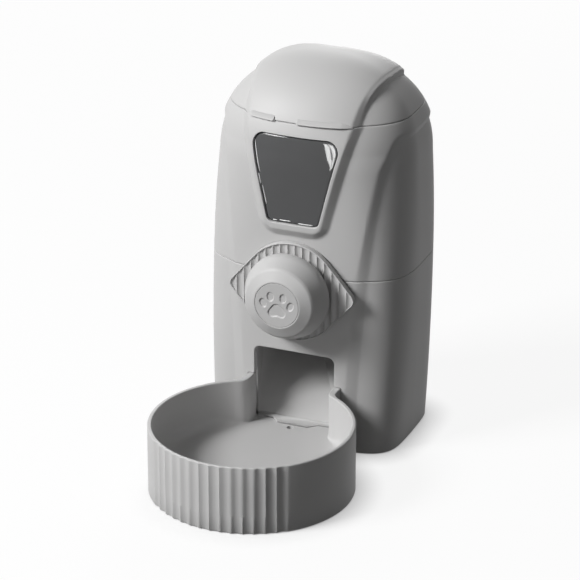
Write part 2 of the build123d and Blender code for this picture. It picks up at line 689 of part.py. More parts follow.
def make_chute_ramp():
    """Sloping slide between two side walls, with legs, a ledge and the tongue over the bowl floor."""
    slope = math.tan(math.radians(RAMP_ANGLE_DEG))
    rear = REAR_Y + INNER_GROW - CHUTE_CLEARANCE
    rear_z = RAMP_FOOT_Z + (rear - RAMP_FOOT_Y) * slope
    drop = RAMP_THICK / math.cos(math.radians(RAMP_ANGLE_DEG))
    front = INNER_FRONT_Y + CHUTE_CLEARANCE
    half = OUTLET_HALF + CHUTE_CLEARANCE
    under = RAMP_FOOT_Z - RAMP_THICK
    ramp = polygon(
        (LEDGE_FRONT_Y, RAMP_FOOT_Z),
        (LEDGE_FRONT_Y, under),
        (RAMP_FOOT_Y + 1.0, under),
        (rear, rear_z - drop),
        (rear, rear_z),
        (RAMP_FOOT_Y, RAMP_FOOT_Z),
    )
    shape = along_x(ramp, -half, half)
    leg_z = COVER_THICK
    wall = polygon(
        (front, under),
        (RAMP_FOOT_Y + 1.0, under),
        (CHUTE_LEG_FRONT_Y, RAMP_FOOT_Z + (CHUTE_LEG_FRONT_Y - RAMP_FOOT_Y) * slope - drop),
        (CHUTE_LEG_FRONT_Y, leg_z),
        (CHUTE_LEG_REAR_Y, leg_z),
        (CHUTE_LEG_REAR_Y, RAMP_FOOT_Z + (CHUTE_LEG_REAR_Y - RAMP_FOOT_Y) * slope - drop),
        (rear, rear_z - drop),
        (rear, CHUTE_TOP_Z),
        (CHUTE_SHOULDER_Y, CHUTE_TOP_Z),
        (front, CHUTE_FRONT_TOP_Z),
    )
    shape += along_x(wall, half, half + CHUTE_WALL) + along_x(wall, -half - CHUTE_WALL, -half)
    tongue = polygon(
        (-TONGUE_ROOT_HALF, LEDGE_FRONT_Y + 1),
        (-TONGUE_ROOT_HALF, LEDGE_FRONT_Y),
        (-TONGUE_TIP_HALF, TONGUE_TIP_Y),
        (TONGUE_TIP_HALF, TONGUE_TIP_Y),
        (TONGUE_ROOT_HALF, LEDGE_FRONT_Y),
        (TONGUE_ROOT_HALF, LEDGE_FRONT_Y + 1),
    )
    return shape + along_z(tongue, RAMP_FOOT_Z - TONGUE_THICK, RAMP_FOOT_Z)


def make_base_cover():
    """Floor plate with screw pads and sockets for the chute legs."""
    shape = extrude(body_face(0.0, INNER_GROW - COVER_CLEARANCE), amount=COVER_THICK)
    leg_in = OUTLET_HALF + CHUTE_CLEARANCE
    for side in (-1, 1):
        x0, x1 = sorted((side * leg_in, side * (leg_in + CHUTE_WALL)))
        gap = CHUTE_CLEARANCE
        slot = block(x0 - gap, x1 + gap, CHUTE_LEG_FRONT_Y - gap, CHUTE_LEG_REAR_Y + gap, COVER_THICK, FAR)
        wall = gap + SOCKET_WALL
        top = COVER_THICK + SOCKET_HEIGHT
        socket = block(
            x0 - wall, x1 + wall, CHUTE_LEG_FRONT_Y - wall, CHUTE_LEG_REAR_Y + wall, COVER_THICK - 0.5, top
        )
        shape += socket - slot
    for x, y in cover_screw_places():
        pad = rod(x, y, COVER_THICK - 0.5, COVER_PAD_TOP_Z, COVER_PAD_RADIUS)
        shape += pad & hull(INNER_GROW - COVER_CLEARANCE, -2.0, 20.0)
        shape -= rod(x, y, -1, COVER_SINK_DEPTH, COVER_SINK_RADIUS)
        shape -= rod(x, y, -1, COVER_PAD_TOP_Z + 1, SCREW_PASS_RADIUS)
    return shape


def make_bowl():
    """Round bowl with a fluted front wall and a keyhole neck."""
    under = BOWL_FLOOR_Z - BOWL_FLOOR_THICK
    shape = rod(0, BOWL_CENTRE_Y, 0, BOWL_RIM_Z, BOWL_RADIUS)
    shape += bowl_neck_block(0.0, BOWL_CENTRE_Y, NECK_END_Y, under, BOWL_RIM_Z)
    inside_radius = BOWL_RADIUS - BOWL_WALL
    inside = rod(0, BOWL_CENTRE_Y, BOWL_FLOOR_Z, BOWL_RIM_Z + 5, inside_radius)
    inside = fillet(inside.edges().group_by(Axis.Z)[0], BOWL_COVE)
    shape -= inside
    shape -= block(-OUTLET_HALF, OUTLET_HALF, BOWL_CENTRE_Y, 0, BOWL_FLOOR_Z, BOWL_RIM_Z + 5)
    shape -= rod(0, BOWL_CENTRE_Y, -1, under, inside_radius)
    for step in range(FLUTE_COUNT):
        angle = math.radians(-90.0 + (step - (FLUTE_COUNT - 1) / 2) * FLUTE_PITCH_DEG)
        reach = BOWL_RADIUS + FLUTE_RADIUS - FLUTE_DEPTH
        x = reach * math.cos(angle)
        y = BOWL_CENTRE_Y + reach * math.sin(angle)
        shape -= rod(x, y, -1, BOWL_RIM_Z + 1, FLUTE_RADIUS)
    return shape - rod(0, DRAIN_Y, 0, BOWL_FLOOR_Z + 1, DRAIN_RADIUS)


def hexagon(flats, z0, z1):
    """Hexagonal block about the z axis."""
    return along_z(RegularPolygon(flats / math.sqrt(3), 6), z0, z1)


BOSS_FACE = INNER_GROW - STUD_BOSS_THICK
STUD_HEAD_SEAT = BOSS_FACE - STUD_WASHER_THICK


def make_clamp_stud():
    """Hex bolt from inside the front wall, pointing forward."""
    shape = rod(0, 0, STUD_HEAD_SEAT - 0.5, STUD_END - 1.0, STUD_RADIUS)
    shape += Pos(0, 0, STUD_END - 0.5) * Cone(STUD_RADIUS, STUD_RADIUS - 1.0, 1.0)
    shape += hexagon(STUD_HEAD_FLATS, STUD_HEAD_SEAT - STUD_HEAD_THICK, STUD_HEAD_SEAT)
    return on_knob_axis(shape)


def make_stud_nut():
    """Thin hex nut sunk in the front wall."""
    shape = hexagon(STUD_HEAD_FLATS, -NUT_POCKET_DEPTH, STUD_NUT_THICK - NUT_POCKET_DEPTH)
    return on_knob_axis(shape - rod(0, 0, -FAR, FAR, STUD_RADIUS + NUT_BORE_CLEARANCE))


def make_stud_washer():
    """Washer between the bolt head and the boss."""
    return on_knob_axis(ring(STUD_WASHER_RADIUS, STUD_RADIUS + STUD_HOLE_CLEARANCE, STUD_HEAD_SEAT, BOSS_FACE))


PLATE_FACE = PLATE_GAP + PLATE_THICK
KNOB_BACK = PLATE_FACE + KNOB_WASHER_THICK


def eye_face(inset):
    """Eye outline: a round middle with a small round tip at each side."""
    edges = list(Circle(PLATE_RADIUS - inset).edges())
    for side in (-1, 1):
        edges += list((Pos(side * PLATE_TIP_X, 0) * Circle(PLATE_TIP_RADIUS - inset)).edges())
    return make_hull(edges)


def make_clamp_plate():
    """Eye-shaped plate with vertical flutes on its face."""
    shape = along_z(eye_face(0.0), PLATE_GAP, PLATE_FACE)
    reach = PLATE_FACE + PLATE_FLUTE_RADIUS - PLATE_FLUTE_DEPTH
    flutes = []
    for step in range(PLATE_FLUTE_COUNT):
        x = (step - (PLATE_FLUTE_COUNT - 1) / 2) * PLATE_FLUTE_PITCH
        flutes.append(Pos(x, 0, reach) * Rot(90, 0, 0) * Cylinder(PLATE_FLUTE_RADIUS, 4 * PLATE_RADIUS))
    inside = along_z(eye_face(PLATE_RIM), PLATE_GAP, PLATE_FACE + 1)
    inside -= rod(0, 0, -FAR, FAR, KNOB_WASHER_RADIUS + 1)
    for flute in flutes:
        shape -= flute & inside
    return on_knob_axis(shape - rod(0, 0, -FAR, FAR, PLATE_HOLE_RADIUS))


def turned(points):
    """Solid turned from a profile of radius and distance in front of the face."""
    return revolve(Plane.XZ * polygon(*points), Axis.Z)


CAP_FACE = KNOB_FACE - CAP_SINK
CAP_SEAT = CAP_FACE - CAP_THICK


def make_knob_body():
    """Hollow hand knob with a hub for the insert and a seat for the cap."""
    back = KNOB_BACK + 0.2
    shape = turned(
        [
            (0, back),
            (KNOB_BACK_RADIUS, back),
            (KNOB_RADIUS - 0.5, KNOB_WIDE_START - 1.5),
            (KNOB_RADIUS, KNOB_WIDE_START),
            (KNOB_RADIUS, KNOB_WIDE_END),
            (KNOB_RADIUS - 0.5, KNOB_WIDE_END + 2.0),
            (KNOB_CREASE_RADIUS + 1.0, KNOB_CREASE - 1.0),
            (KNOB_CREASE_RADIUS, KNOB_CREASE),
            (CAP_RADIUS + 1.0, KNOB_FACE),
            (0, KNOB_FACE),
        ]
    )
    outer = KNOB_BACK_RADIUS - KNOB_WALL
    shape -= turned(
        [
            (KNOB_HUB_RADIUS, back - 1),
            (outer, back - 1),
            (KNOB_RADIUS - KNOB_WALL, KNOB_WIDE_START),
            (KNOB_RADIUS - KNOB_WALL, KNOB_WIDE_END),
            (KNOB_CREASE_RADIUS - 2.0, KNOB_HOLLOW_END),
            (KNOB_HUB_RADIUS, KNOB_HOLLOW_END),
        ]
    )
    shape += rod(0, 0, KNOB_BACK, back + 1, KNOB_WASHER_RADIUS)
    shape -= rod(0, 0, 0, KNOB_BACK + INSERT_LENGTH, INSERT_RADIUS + INSERT_SEAT_CLEARANCE)
    shape -= rod(0, 0, 0, KNOB_FACE, STUD_RADIUS + 0.6)
    shape -= rod(0, 0, CAP_SEAT, KNOB_FACE + 1, CAP_RADIUS + CAP_CLEARANCE)
    return on_knob_axis(shape)


def make_knob_insert():
    """Threaded brass insert, drawn with a plain bore."""
    return on_knob_axis(
        ring(INSERT_RADIUS, STUD_RADIUS + INSERT_BORE_CLEARANCE, KNOB_BACK, KNOB_BACK + INSERT_LENGTH)
    )


def make_knob_washer():
    """Thrust washer between the plate and the knob."""
    return on_knob_axis(ring(KNOB_WASHER_RADIUS, STUD_RADIUS + 0.3, PLATE_FACE, KNOB_BACK))


def make_knob_cap():
    """Front disc of the knob with a sunk paw print."""
    paw = Pos(0, -PAW_PAD_DROP) * Circle(PAW_PAD_RADIUS)
    edges = list(paw.edges())
    for side in (-1, 1):
        edges += list((Pos(side * PAW_LOBE_X, -PAW_LOBE_DROP) * Circle(PAW_LOBE_RADIUS)).edges())
    print_faces = [make_hull(edges)]
    for side in (-1, 1):
        toe = Ellipse(PAW_TOE_SHORT, PAW_TOE_LONG)
        print_faces.append(Pos(side * PAW_INNER_TOE_X, PAW_INNER_TOE_UP) * Rot(0, 0, -side * 8) * toe)
        print_faces.append(Pos(side * PAW_OUTER_TOE_X, PAW_OUTER_TOE_UP) * Rot(0, 0, -side * 22) * toe)
    shape = rod(0, 0, CAP_SEAT, CAP_FACE, CAP_RADIUS)
    for face in print_faces:
        shape -= along_z(face, CAP_FACE - PAW_DEPTH, CAP_FACE + 1)
    return on_knob_axis(shape)


def main():
    """Make every piece and write it."""
    outside = shell_outside()
    write("lower_shell", make_lower_shell(outside))
    write("upper_shell", make_upper_shell(outside))
    write("lid_shell", make_lid_shell())
    write("lid_seal", make_lid_seal())
    spans = [(x0 - HINGE_SHELL_LUG_WIDTH, x1 + HINGE_SHELL_LUG_WIDTH) for x0, x1 in lid_lug_spans()]
    write("hinge_pins", *[hinge_bore(x0, x1, 0.0) for x0, x1 in spans])
    write("window_pane", make_window_pane())
    write("hopper_funnel", make_hopper_funnel())
    write("chute_ramp", make_chute_ramp())
    write("base_cover", make_base_cover())
    write("base_screws", *[screw(x, y, COVER_SINK_DEPTH) for x, y in cover_screw_places()])
    write("seam_screws", *[screw(x, y, LUG_FOOT_Z) for x, y in seam_screw_places()])
    write("bowl", make_bowl())
    write("clamp_stud", make_clamp_stud())
    write("stud_nut", make_stud_nut())
    write("stud_washer", make_stud_washer())
    write("clamp_plate", make_clamp_plate())
    write("knob_body", make_knob_body())
    write("knob_insert", make_knob_insert())
    write("knob_washer", make_knob_washer())
    write("knob_cap", make_knob_cap())


main()
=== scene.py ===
"""Dressed model of a clamp-on gravity pet feeder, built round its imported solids.

All shape sizes are in millimetres in the frame of the solids: the body stands on z = 0, its front
looks along -y, and x runs to the right as the front is faced. Meshes are written in metres.
"""

import logging
import math
from dataclasses import dataclass, field
from enum import Enum
from typing import Sequence

import bmesh
import bpy
import numpy as np
from mathutils import Euler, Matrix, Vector


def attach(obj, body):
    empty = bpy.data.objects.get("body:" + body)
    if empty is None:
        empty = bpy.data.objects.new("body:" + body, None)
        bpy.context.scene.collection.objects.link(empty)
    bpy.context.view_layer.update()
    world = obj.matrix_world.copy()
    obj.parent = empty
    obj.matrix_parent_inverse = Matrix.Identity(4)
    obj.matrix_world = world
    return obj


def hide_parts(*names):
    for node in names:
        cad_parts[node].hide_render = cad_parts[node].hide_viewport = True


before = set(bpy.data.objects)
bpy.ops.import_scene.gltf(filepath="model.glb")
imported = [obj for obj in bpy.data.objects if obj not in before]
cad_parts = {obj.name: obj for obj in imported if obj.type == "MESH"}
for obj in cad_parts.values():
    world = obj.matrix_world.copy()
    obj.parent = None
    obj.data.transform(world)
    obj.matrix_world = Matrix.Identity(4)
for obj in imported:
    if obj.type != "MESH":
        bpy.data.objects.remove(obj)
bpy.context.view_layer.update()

Array = np.ndarray
MM = 0.001
LOG = logging.getLogger("feeder")
ROUND_STEPS = np.array([0.0, 0.12, 0.35, 0.7, 1.0])


class Body(Enum):
    """The bodies that pieces ride on."""

    HOUSING = "housing"
    LID = "lid"
    CLAMP = "clamp"
    KNOB = "knob"
    DISH = "dish"


class Slot(Enum):
    """The record's material slots."""

    GREY = "grey_plastic"
    INNER = "inner_plastic"
    PANE = "smoked_pane"
    RUBBER = "seal_rubber"
    NYLON = "white_nylon"
    STEEL = "steel"
    BRASS = "brass"


# Small array helpers

def soft_clip(value: Array, soft: float = 0.08) -> Array:
    """Clamp to 0..1 with rounded shoulders.

    Half of (sqrt(v^2 + k^2) - sqrt((v - 1)^2 + k^2) + 1), which is a straight ramp with two
    hyperbolic bends of size k.

    Args:
        value: Any array.
        soft: Size k of the bends.

    Returns:
        The clamped array.
    """
    return 0.5 * (np.sqrt(value**2 + soft**2) - np.sqrt((value - 1) ** 2 + soft**2) + 1)


def soft_min(a: Array, b: Array | float, soft: float) -> Array:
    """Smaller of two values, with a rounded change-over of size soft."""
    return 0.5 * (a + b - np.sqrt((a - b) ** 2 + soft**2))


def edge_drop(distance: Array, radius: float) -> Array:
    """Fall of a rounded edge: radius minus a quarter circle over the distance from the edge."""
    short = np.clip(1 - distance / radius, 0, 1)
    return radius * (1 - np.sqrt(1 - short**2))


def full_turn(count: int) -> Array:
    """Angles once round, the last one left out."""
    return np.linspace(0, 2 * np.pi, count, endpoint=False)


def unit(ways: Array) -> Array:
    """Directions (n, 2) at length 1."""
    return ways / np.linalg.norm(ways, axis=1, keepdims=True)


def at_height(plan: Array, z: Array | float) -> Array:
    """Plan points (..., 2) raised to a height."""
    return np.concatenate([plan, np.broadcast_to(z, plan.shape[:-1])[..., None]], axis=-1)


def spread(low: float, high: float, step: float, edge: float, extra: Sequence[float]) -> Array:
    """Heights from low to high, close together at both ends for rounded edges.

    Args:
        low: First height.
        high: Last height.
        step: Usual spacing.
        edge: Size of the rounded ends.
        extra: More heights to hit.

    Returns:
        A sorted array.
    """
    ends = edge * ROUND_STEPS
    count = int((high - low - 2 * edge) / step) + 1
    middle = np.linspace(low + edge, high - edge, count)
    return np.unique(np.round(np.concatenate([low + ends, middle, high - ends, extra]), 4))


def resample(path: Array, count: int) -> Array:
    """Points at equal steps of length along a polyline.

    Args:
        path: Points (n, 2).
        count: How many points to give.

    Returns:
        Points (count, 2), ends kept.
    """
    length = np.concatenate([[0.0], np.cumsum(np.linalg.norm(np.diff(path, axis=0), axis=1))])
    at = np.linspace(0, length[-1], count)
    return np.stack([np.interp(at, length, path[:, 0]), np.interp(at, length, path[:, 1])], axis=1)


def rounded_loop(corners: Array, radii: Array, steps: int = 15) -> tuple[Array, Array]:
    """Closed outline with rounded corners.

    Each corner becomes an arc that touches both of its sides: the centre stands on the bisector,
    and the arc turns evenly from one side's normal to the other's.

    Args:
        corners: Corner points (n, 2), anticlockwise.
        radii: Arc radius at each corner.
        steps: Points on each arc, an odd number.

    Returns:
        The loop's points, and the index of the middle point of each arc.
    """
    before = unit(np.roll(corners, 1, axis=0) - corners)
    after = unit(np.roll(corners, -1, axis=0) - corners)
    bisector = unit(before + after)
    half = np.arccos(np.clip(np.sum(before * after, axis=1), -1, 1)) / 2
    centre = corners + bisector * (radii / np.sin(half))[:, None]
    inward = np.sign(before[:, 0] * after[:, 1] - before[:, 1] * after[:, 0])
    middle = np.arctan2(-bisector[:, 1], -bisector[:, 0])
    sweep = -inward * (np.pi / 2 - half)
    angle = middle[:, None] + sweep[:, None] * np.linspace(-1, 1, steps)[None, :]
    ways = np.stack([np.cos(angle), np.sin(angle)], axis=2)
    loop = centre[:, None, :] + radii[:, None, None] * ways
    return loop.reshape(-1, 2), np.arange(len(corners)) * steps + steps // 2


def loop_sides(loop: Array, stops: Sequence[int], counts: Sequence[int]) -> Array:
    """Loop resampled side by side, so that each side has a set number of points.

    Args:
        loop: Closed outline (n, 2).
        stops: Index where each side begins.
        counts: Points of each side, its end left out.

    Returns:
        The new loop.
    """
    sides = []
    for i, count in enumerate(counts):
        first, last = stops[i], stops[(i + 1) % len(stops)]
        last = last if last > first else last + len(loop)
        sides.append(resample(loop[np.arange(first, last + 1) % len(loop)], count + 1)[:-1])
    return np.concatenate(sides)


def circle_loop(centre: float, radius: float, counts: Sequence[int]) -> Array:
    """Circle about (0, centre) from its lower left, with a set number of points on each quarter."""
    points = 256
    turn = full_turn(points) - 0.75 * np.pi
    loop = np.stack([radius * np.cos(turn), centre + radius * np.sin(turn)], axis=1)
    return loop_sides(loop, range(0, points, points // 4), counts)


def eased(line: Array, at: int, reach: int) -> Array:
    """Round the corner of a line (n, 2) at a point, by two running means over the points near it."""
    soft = line.copy()
    near = slice(at - 2 * reach, at + 2 * reach + 1)
    weights = np.full(2 * reach + 1, 1 / (2 * reach + 1))
    for _ in range(2):
        mean = np.stack([np.convolve(column, weights, "same") for column in soft.T], axis=1)
        soft[near] = mean[near]
    return soft


# Objects and meshes

def new_object(name: str, data: bpy.types.ID) -> bpy.types.Object:
    """Object in the scene that holds data."""
    obj = bpy.data.objects.new(name, data)
    bpy.context.scene.collection.objects.link(obj)
    return obj


def shaded(name: str, mesh: bpy.types.Mesh, sharp_deg: float) -> bpy.types.Object:
    """Object whose mesh is smooth, but for edges that bend more than sharp_deg."""
    mesh.polygons.foreach_set("use_smooth", np.ones(len(mesh.polygons), dtype=bool))
    mesh.set_sharp_from_angle(angle=math.radians(sharp_deg))
    return new_object(name, mesh)


class MeshDraft:
    """Grids of points collected into one closed mesh."""

    def __init__(self) -> None:
        """Start with nothing."""
        self.points: list[Array] = []
        self.faces: list[Array] = []
        self.count = 0

    def grid(self, points: Array, close_rows: bool = False, close_cols: bool = False) -> None:
        """Add a grid of points with a face in each cell.

        Args:
            points: Points (rows, cols, 3) in millimetres.
            close_rows: Join the last row to the first.
            close_cols: Join the last column to the first.
        """
        rows, cols = points.shape[:2]
        index = self.count + np.arange(rows * cols).reshape(rows, cols)
        if close_rows:
            index = np.concatenate([index, index[:1]], axis=0)
        if close_cols:
            index = np.concatenate([index, index[:, :1]], axis=1)
        quads = np.stack([index[:-1, :-1], index[:-1, 1:], index[1:, 1:], index[1:, :-1]], axis=2)
        self.points.append(points.reshape(-1, 3))
        self.faces.append(quads.reshape(-1, 4))
        self.count += rows * cols

    def rings(self, *grids: Array) -> None:
        """Add grids whose rows are closed loops."""
        for points in grids:
            self.grid(points, close_cols=True)

    def strip(self, first: Array, second: Array, closed: bool = False) -> None:
        """Join two lines of points (n, 3) by one row of faces."""
        self.grid(np.stack([first, second]), close_cols=closed)

    def cap(self, loop: Array) -> None:
        """Fill a closed loop of points (n, 3) with a fan about its middle."""
        self.strip(loop, np.broadcast_to(loop.mean(axis=0), loop.shape), closed=True)

    def tube(self, points: Array) -> None:
        """Add closed sections (rows) carried along a path (columns), with both ends filled."""
        self.grid(points, close_rows=True)
        self.cap(points[:, 0])
        self.cap(points[:, -1])

    def build(self, name: str, sharp_deg: float = 38.0) -> bpy.types.Object:
        """Write the mesh, weld its seams, turn its faces out and shade it.

        Args:
            name: Name of the piece.
            sharp_deg: Edges that bend more than this stay sharp.

        Returns:
            The new object.
        """
        mesh = bpy.data.meshes.new(name)
        points = np.concatenate(self.points) * MM
        mesh.from_pydata(points.tolist(), [], np.concatenate(self.faces).tolist())
        work = bmesh.new()
        work.from_mesh(mesh)
        bmesh.ops.remove_doubles(work, verts=work.verts, dist=2e-6)
        bmesh.ops.dissolve_degenerate(work, edges=work.edges, dist=1e-7)
        bmesh.ops.recalc_face_normals(work, faces=work.faces)
        work.to_mesh(mesh)
        work.free()
        return shaded(name, mesh, sharp_deg)


# Shader expressions and finishes

class Signal:
    """A shader value that works in Python expressions; each operation adds a Math node."""

    def __init__(self, graph: "Graph", socket: bpy.types.NodeSocket) -> None:
        """Keep the socket and the graph that it is in."""
        self.graph = graph
        self.socket = socket

    def math(self, operation: str, *others: "Signal | float") -> "Signal":
        """Math node with this value first."""
        return self.graph.math(operation, self, *others)

    def __add__(self, other: "Signal | float") -> "Signal":
        """Sum."""
        return self.math("ADD", other)

    def __sub__(self, other: "Signal | float") -> "Signal":
        """Difference."""
        return self.math("SUBTRACT", other)

    def __mul__(self, other: "Signal | float") -> "Signal":
        """Product."""
        return self.math("MULTIPLY", other)


class Graph:
    """The node tree of one material or of the world."""

    def __init__(self, tree: bpy.types.NodeTree) -> None:
        """Empty the tree."""
        self.tree = tree
        tree.nodes.clear()

    def node(self, kind: str, settings: dict | None = None, **sockets: object) -> bpy.types.Node:
        """Add a node.

        Args:
            kind: Node type.
            settings: Properties that are set first.
            sockets: Values or links of its inputs; underscores stand for spaces, i0 for input 0.

        Returns:
            The node.
        """
        made = self.tree.nodes.new(kind)
        for key, value in (settings or {}).items():
            setattr(made, key, value)
        for key, value in sockets.items():
            numbered = key[1:].isdigit()
            target = made.inputs[int(key[1:]) if numbered else key.replace("_", " ")]
            value = value.socket if isinstance(value, Signal) else value
            if isinstance(value, bpy.types.NodeSocket):
                self.tree.links.new(value, target)
            else:
                target.default_value = value
        return made

    def math(self, operation: str, *values: "Signal | float") -> Signal:
        """Math node on one to three values."""
        sockets = {f"i{i}": value for i, value in enumerate(values)}
        made = self.node("ShaderNodeMath", {"operation": operation}, **sockets)
        return Signal(self, made.outputs[0])

    def noise(
        self, scale: float, detail: float, roughness: float = 0.5, stretch: tuple = (1, 1, 1)
    ) -> Signal:
        """Noise on Object coordinates, which are metres on the piece.

        Args:
            scale: Lumps per metre.
            detail: Octaves.
            roughness: Weight of the fine octaves.
            stretch: Scale of each axis.

        Returns:
            The noise value.
        """
        place = self.node("ShaderNodeTexCoord").outputs["Object"]
        scaled = self.node("ShaderNodeMapping", Vector=place, Scale=stretch).outputs[0]
        made = self.node(
            "ShaderNodeTexNoise", Vector=scaled, Scale=scale, Detail=detail, Roughness=roughness
        )
        return Signal(self, made.outputs[0])

    def mix(self, factor: "Signal | float", first: object, second: object) -> bpy.types.NodeSocket:
        """Colour that goes from first to second with factor."""
        made = self.node("ShaderNodeMix", {"data_type": "RGBA"}, i0=factor, i6=first, i7=second)
        return made.outputs[2]

    def bump(self, height: Signal, distance: float) -> bpy.types.NodeSocket:
        """Normal that follows a height; distance is metres at height 1."""
        return self.node("ShaderNodeBump", Strength=1.0, Distance=distance, Height=height).outputs[0]

    def shader(self, kind: str, **sockets: object) -> bpy.types.NodeSocket:
        """Add a shader node and give its output."""
        return self.node(kind, **sockets).outputs[0]

    def surface(self, shader: bpy.types.NodeSocket) -> None:
        """Send a shader to the material's output."""
        self.node("ShaderNodeOutputMaterial", Surface=shader)

    def principled(self, **sockets: object) -> None:
        """Send a principled shader to the material's output."""
        self.surface(self.shader("ShaderNodeBsdfPrincipled", **sockets))


def new_material(name: str) -> tuple[bpy.types.Material, Graph]:
    """Material and its empty graph."""
    made = bpy.data.materials.new(name)
    made.use_nodes = True
    return made, Graph(made.node_tree)


def rgba(red: float, green: float, blue: float) -> tuple[float, float, float, float]:
    """Opaque linear colour."""
    return (red, green, blue, 1.0)


def tint(colour: tuple, factor: float) -> tuple[float, float, float, float]:
    """Colour made lighter or darker by a factor."""
    return rgba(*(min(c * factor, 1.0) for c in colour[:3]))


@dataclass(frozen=True)
class MouldedPlastic:
    """Injection-moulded plastic with a fine spark-eroded texture."""

    name: str
    colour: tuple
    roughness: float = 0.52
    grain_per_metre: float = 1500.0
    grain_height: float = 0.00003
    mottle: float = 0.05
    mottle_per_metre: float = 14.0
    grain_rough: float = 0.12
    mottle_rough: float = 0.08

    def material(self) -> bpy.types.Material:
        """Make the material: broad mottle in the colour, fine grain in bump and roughness."""
        made, graph = new_material(self.name)
        broad = graph.noise(self.mottle_per_metre, 3.0)
        grain = graph.noise(self.grain_per_metre, 2.0, 0.6)
        deep, pale = tint(self.colour, 1 - self.mottle), tint(self.colour, 1 + self.mottle)
        uneven = (grain - 0.5) * self.grain_rough + (broad - 0.5) * self.mottle_rough
        graph.principled(
            Base_Color=graph.mix(broad * 0.7 + grain * 0.3, deep, pale),
            Roughness=uneven + self.roughness,
            Normal=graph.bump(grain, self.grain_height),
            IOR=1.47,
        )
        return made


@dataclass(frozen=True)
class SmokedAcrylic:
    """Smoked clear sheet: dark, glossy and partly see-through, with faint wiping marks."""

    name: str = "smoked_acrylic"
    colour: tuple = rgba(0.075, 0.076, 0.078)
    roughness: float = 0.04
    alpha: float = 0.86

    def material(self) -> bpy.types.Material:
        """Make the material."""
        made, graph = new_material(self.name)
        haze = graph.noise(40.0, 4.0, 0.6)
        wipe = graph.noise(60.0, 3.0, 0.6, (1.0, 1.0, 9.0))
        graph.principled(
            Base_Color=graph.mix(haze, self.colour, tint(self.colour, 1.12)),
            Roughness=(wipe - 0.5) * 0.03 + self.roughness,
            Alpha=self.alpha,
            IOR=1.49,
        )
        return made


@dataclass(frozen=True)
class SoftRubber:
    """Matt seal rubber with a talc bloom."""

    name: str = "seal_rubber_finish"
    colour: tuple = rgba(0.16, 0.16, 0.165)
    roughness: float = 0.78
    bloom_height: float = 0.00004

    def material(self) -> bpy.types.Material:
        """Make the material."""
        made, graph = new_material(self.name)
        bloom = graph.noise(220.0, 4.0, 0.65)
        graph.principled(
            Base_Color=graph.mix(bloom, self.colour, tint(self.colour, 1.5)),
            Roughness=(bloom - 0.5) * 0.2 + self.roughness,
            Normal=graph.bump(bloom, self.bloom_height),
        )
        return made


@dataclass(frozen=True)
class TurnedMetal:
    """Bar metal with fine tool marks across one axis."""

    name: str
    colour: tuple
    roughness: float = 0.32
    stretch: tuple = (1.0, 12.0, 1.0)
    mark_height: float = 0.00002

    def material(self) -> bpy.types.Material:
        """Make the material."""
        made, graph = new_material(self.name)
        marks = graph.noise(260.0, 4.0, 0.7, self.stretch)
        stain = graph.noise(90.0, 3.0)
        graph.principled(
            Base_Color=graph.mix(stain, tint(self.colour, 0.8), self.colour),
            Metallic=1.0,
            Roughness=(marks - 0.5) * 0.25 + self.roughness,
            Normal=graph.bump(marks, self.mark_height),
        )
        return made


class Finishes:
    """One material for each slot of the record."""

    def __init__(self) -> None:
        """Make the materials once."""
        finishes = {
            Slot.GREY: MouldedPlastic("grey_moulded_plastic", rgba(0.50, 0.497, 0.495)),
            Slot.INNER: MouldedPlastic("inner_moulded_plastic", rgba(0.46, 0.457, 0.455), 0.46),
            Slot.PANE: SmokedAcrylic(),
            Slot.RUBBER: SoftRubber(),
            Slot.NYLON: MouldedPlastic("white_nylon_finish", rgba(0.74, 0.73, 0.70), 0.4),
            Slot.STEEL: TurnedMetal("zinc_steel", rgba(0.60, 0.61, 0.63)),
            Slot.BRASS: TurnedMetal("turned_brass", rgba(0.72, 0.52, 0.24)),
        }
        self.by_slot = {slot: finish.material() for slot, finish in finishes.items()}
        # Pale opaque plastic for the beads that paint highlights along the pane's edge.
        self.clear = MouldedPlastic("painted_highlight_edge", rgba(0.86, 0.86, 0.86), 0.25).material()

    def dress(
        self, obj: bpy.types.Object, slot: Slot, body: Body, *nodes: str, clear: bool = False
    ) -> None:
        """Give a new piece its finish, its body and the nodes that it stands for.

        Args:
            obj: The piece.
            slot: Finish of the piece.
            body: Body that it rides on.
            nodes: CAD nodes that it replaces.
            clear: Whether it takes the pale material of the beads that paint highlights on the pane's
                edge.
        """
        obj.data.materials.clear()
        obj.data.materials.append(self.clear if clear else self.by_slot[slot])
        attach(obj, body.value)
        if nodes:
            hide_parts(*nodes)
        obj.data.calc_loop_triangles()
        LOG.info("%s: %d triangles on %s", obj.name, len(obj.data.loop_triangles), body.value)


# The outer form that the shells and the lid share

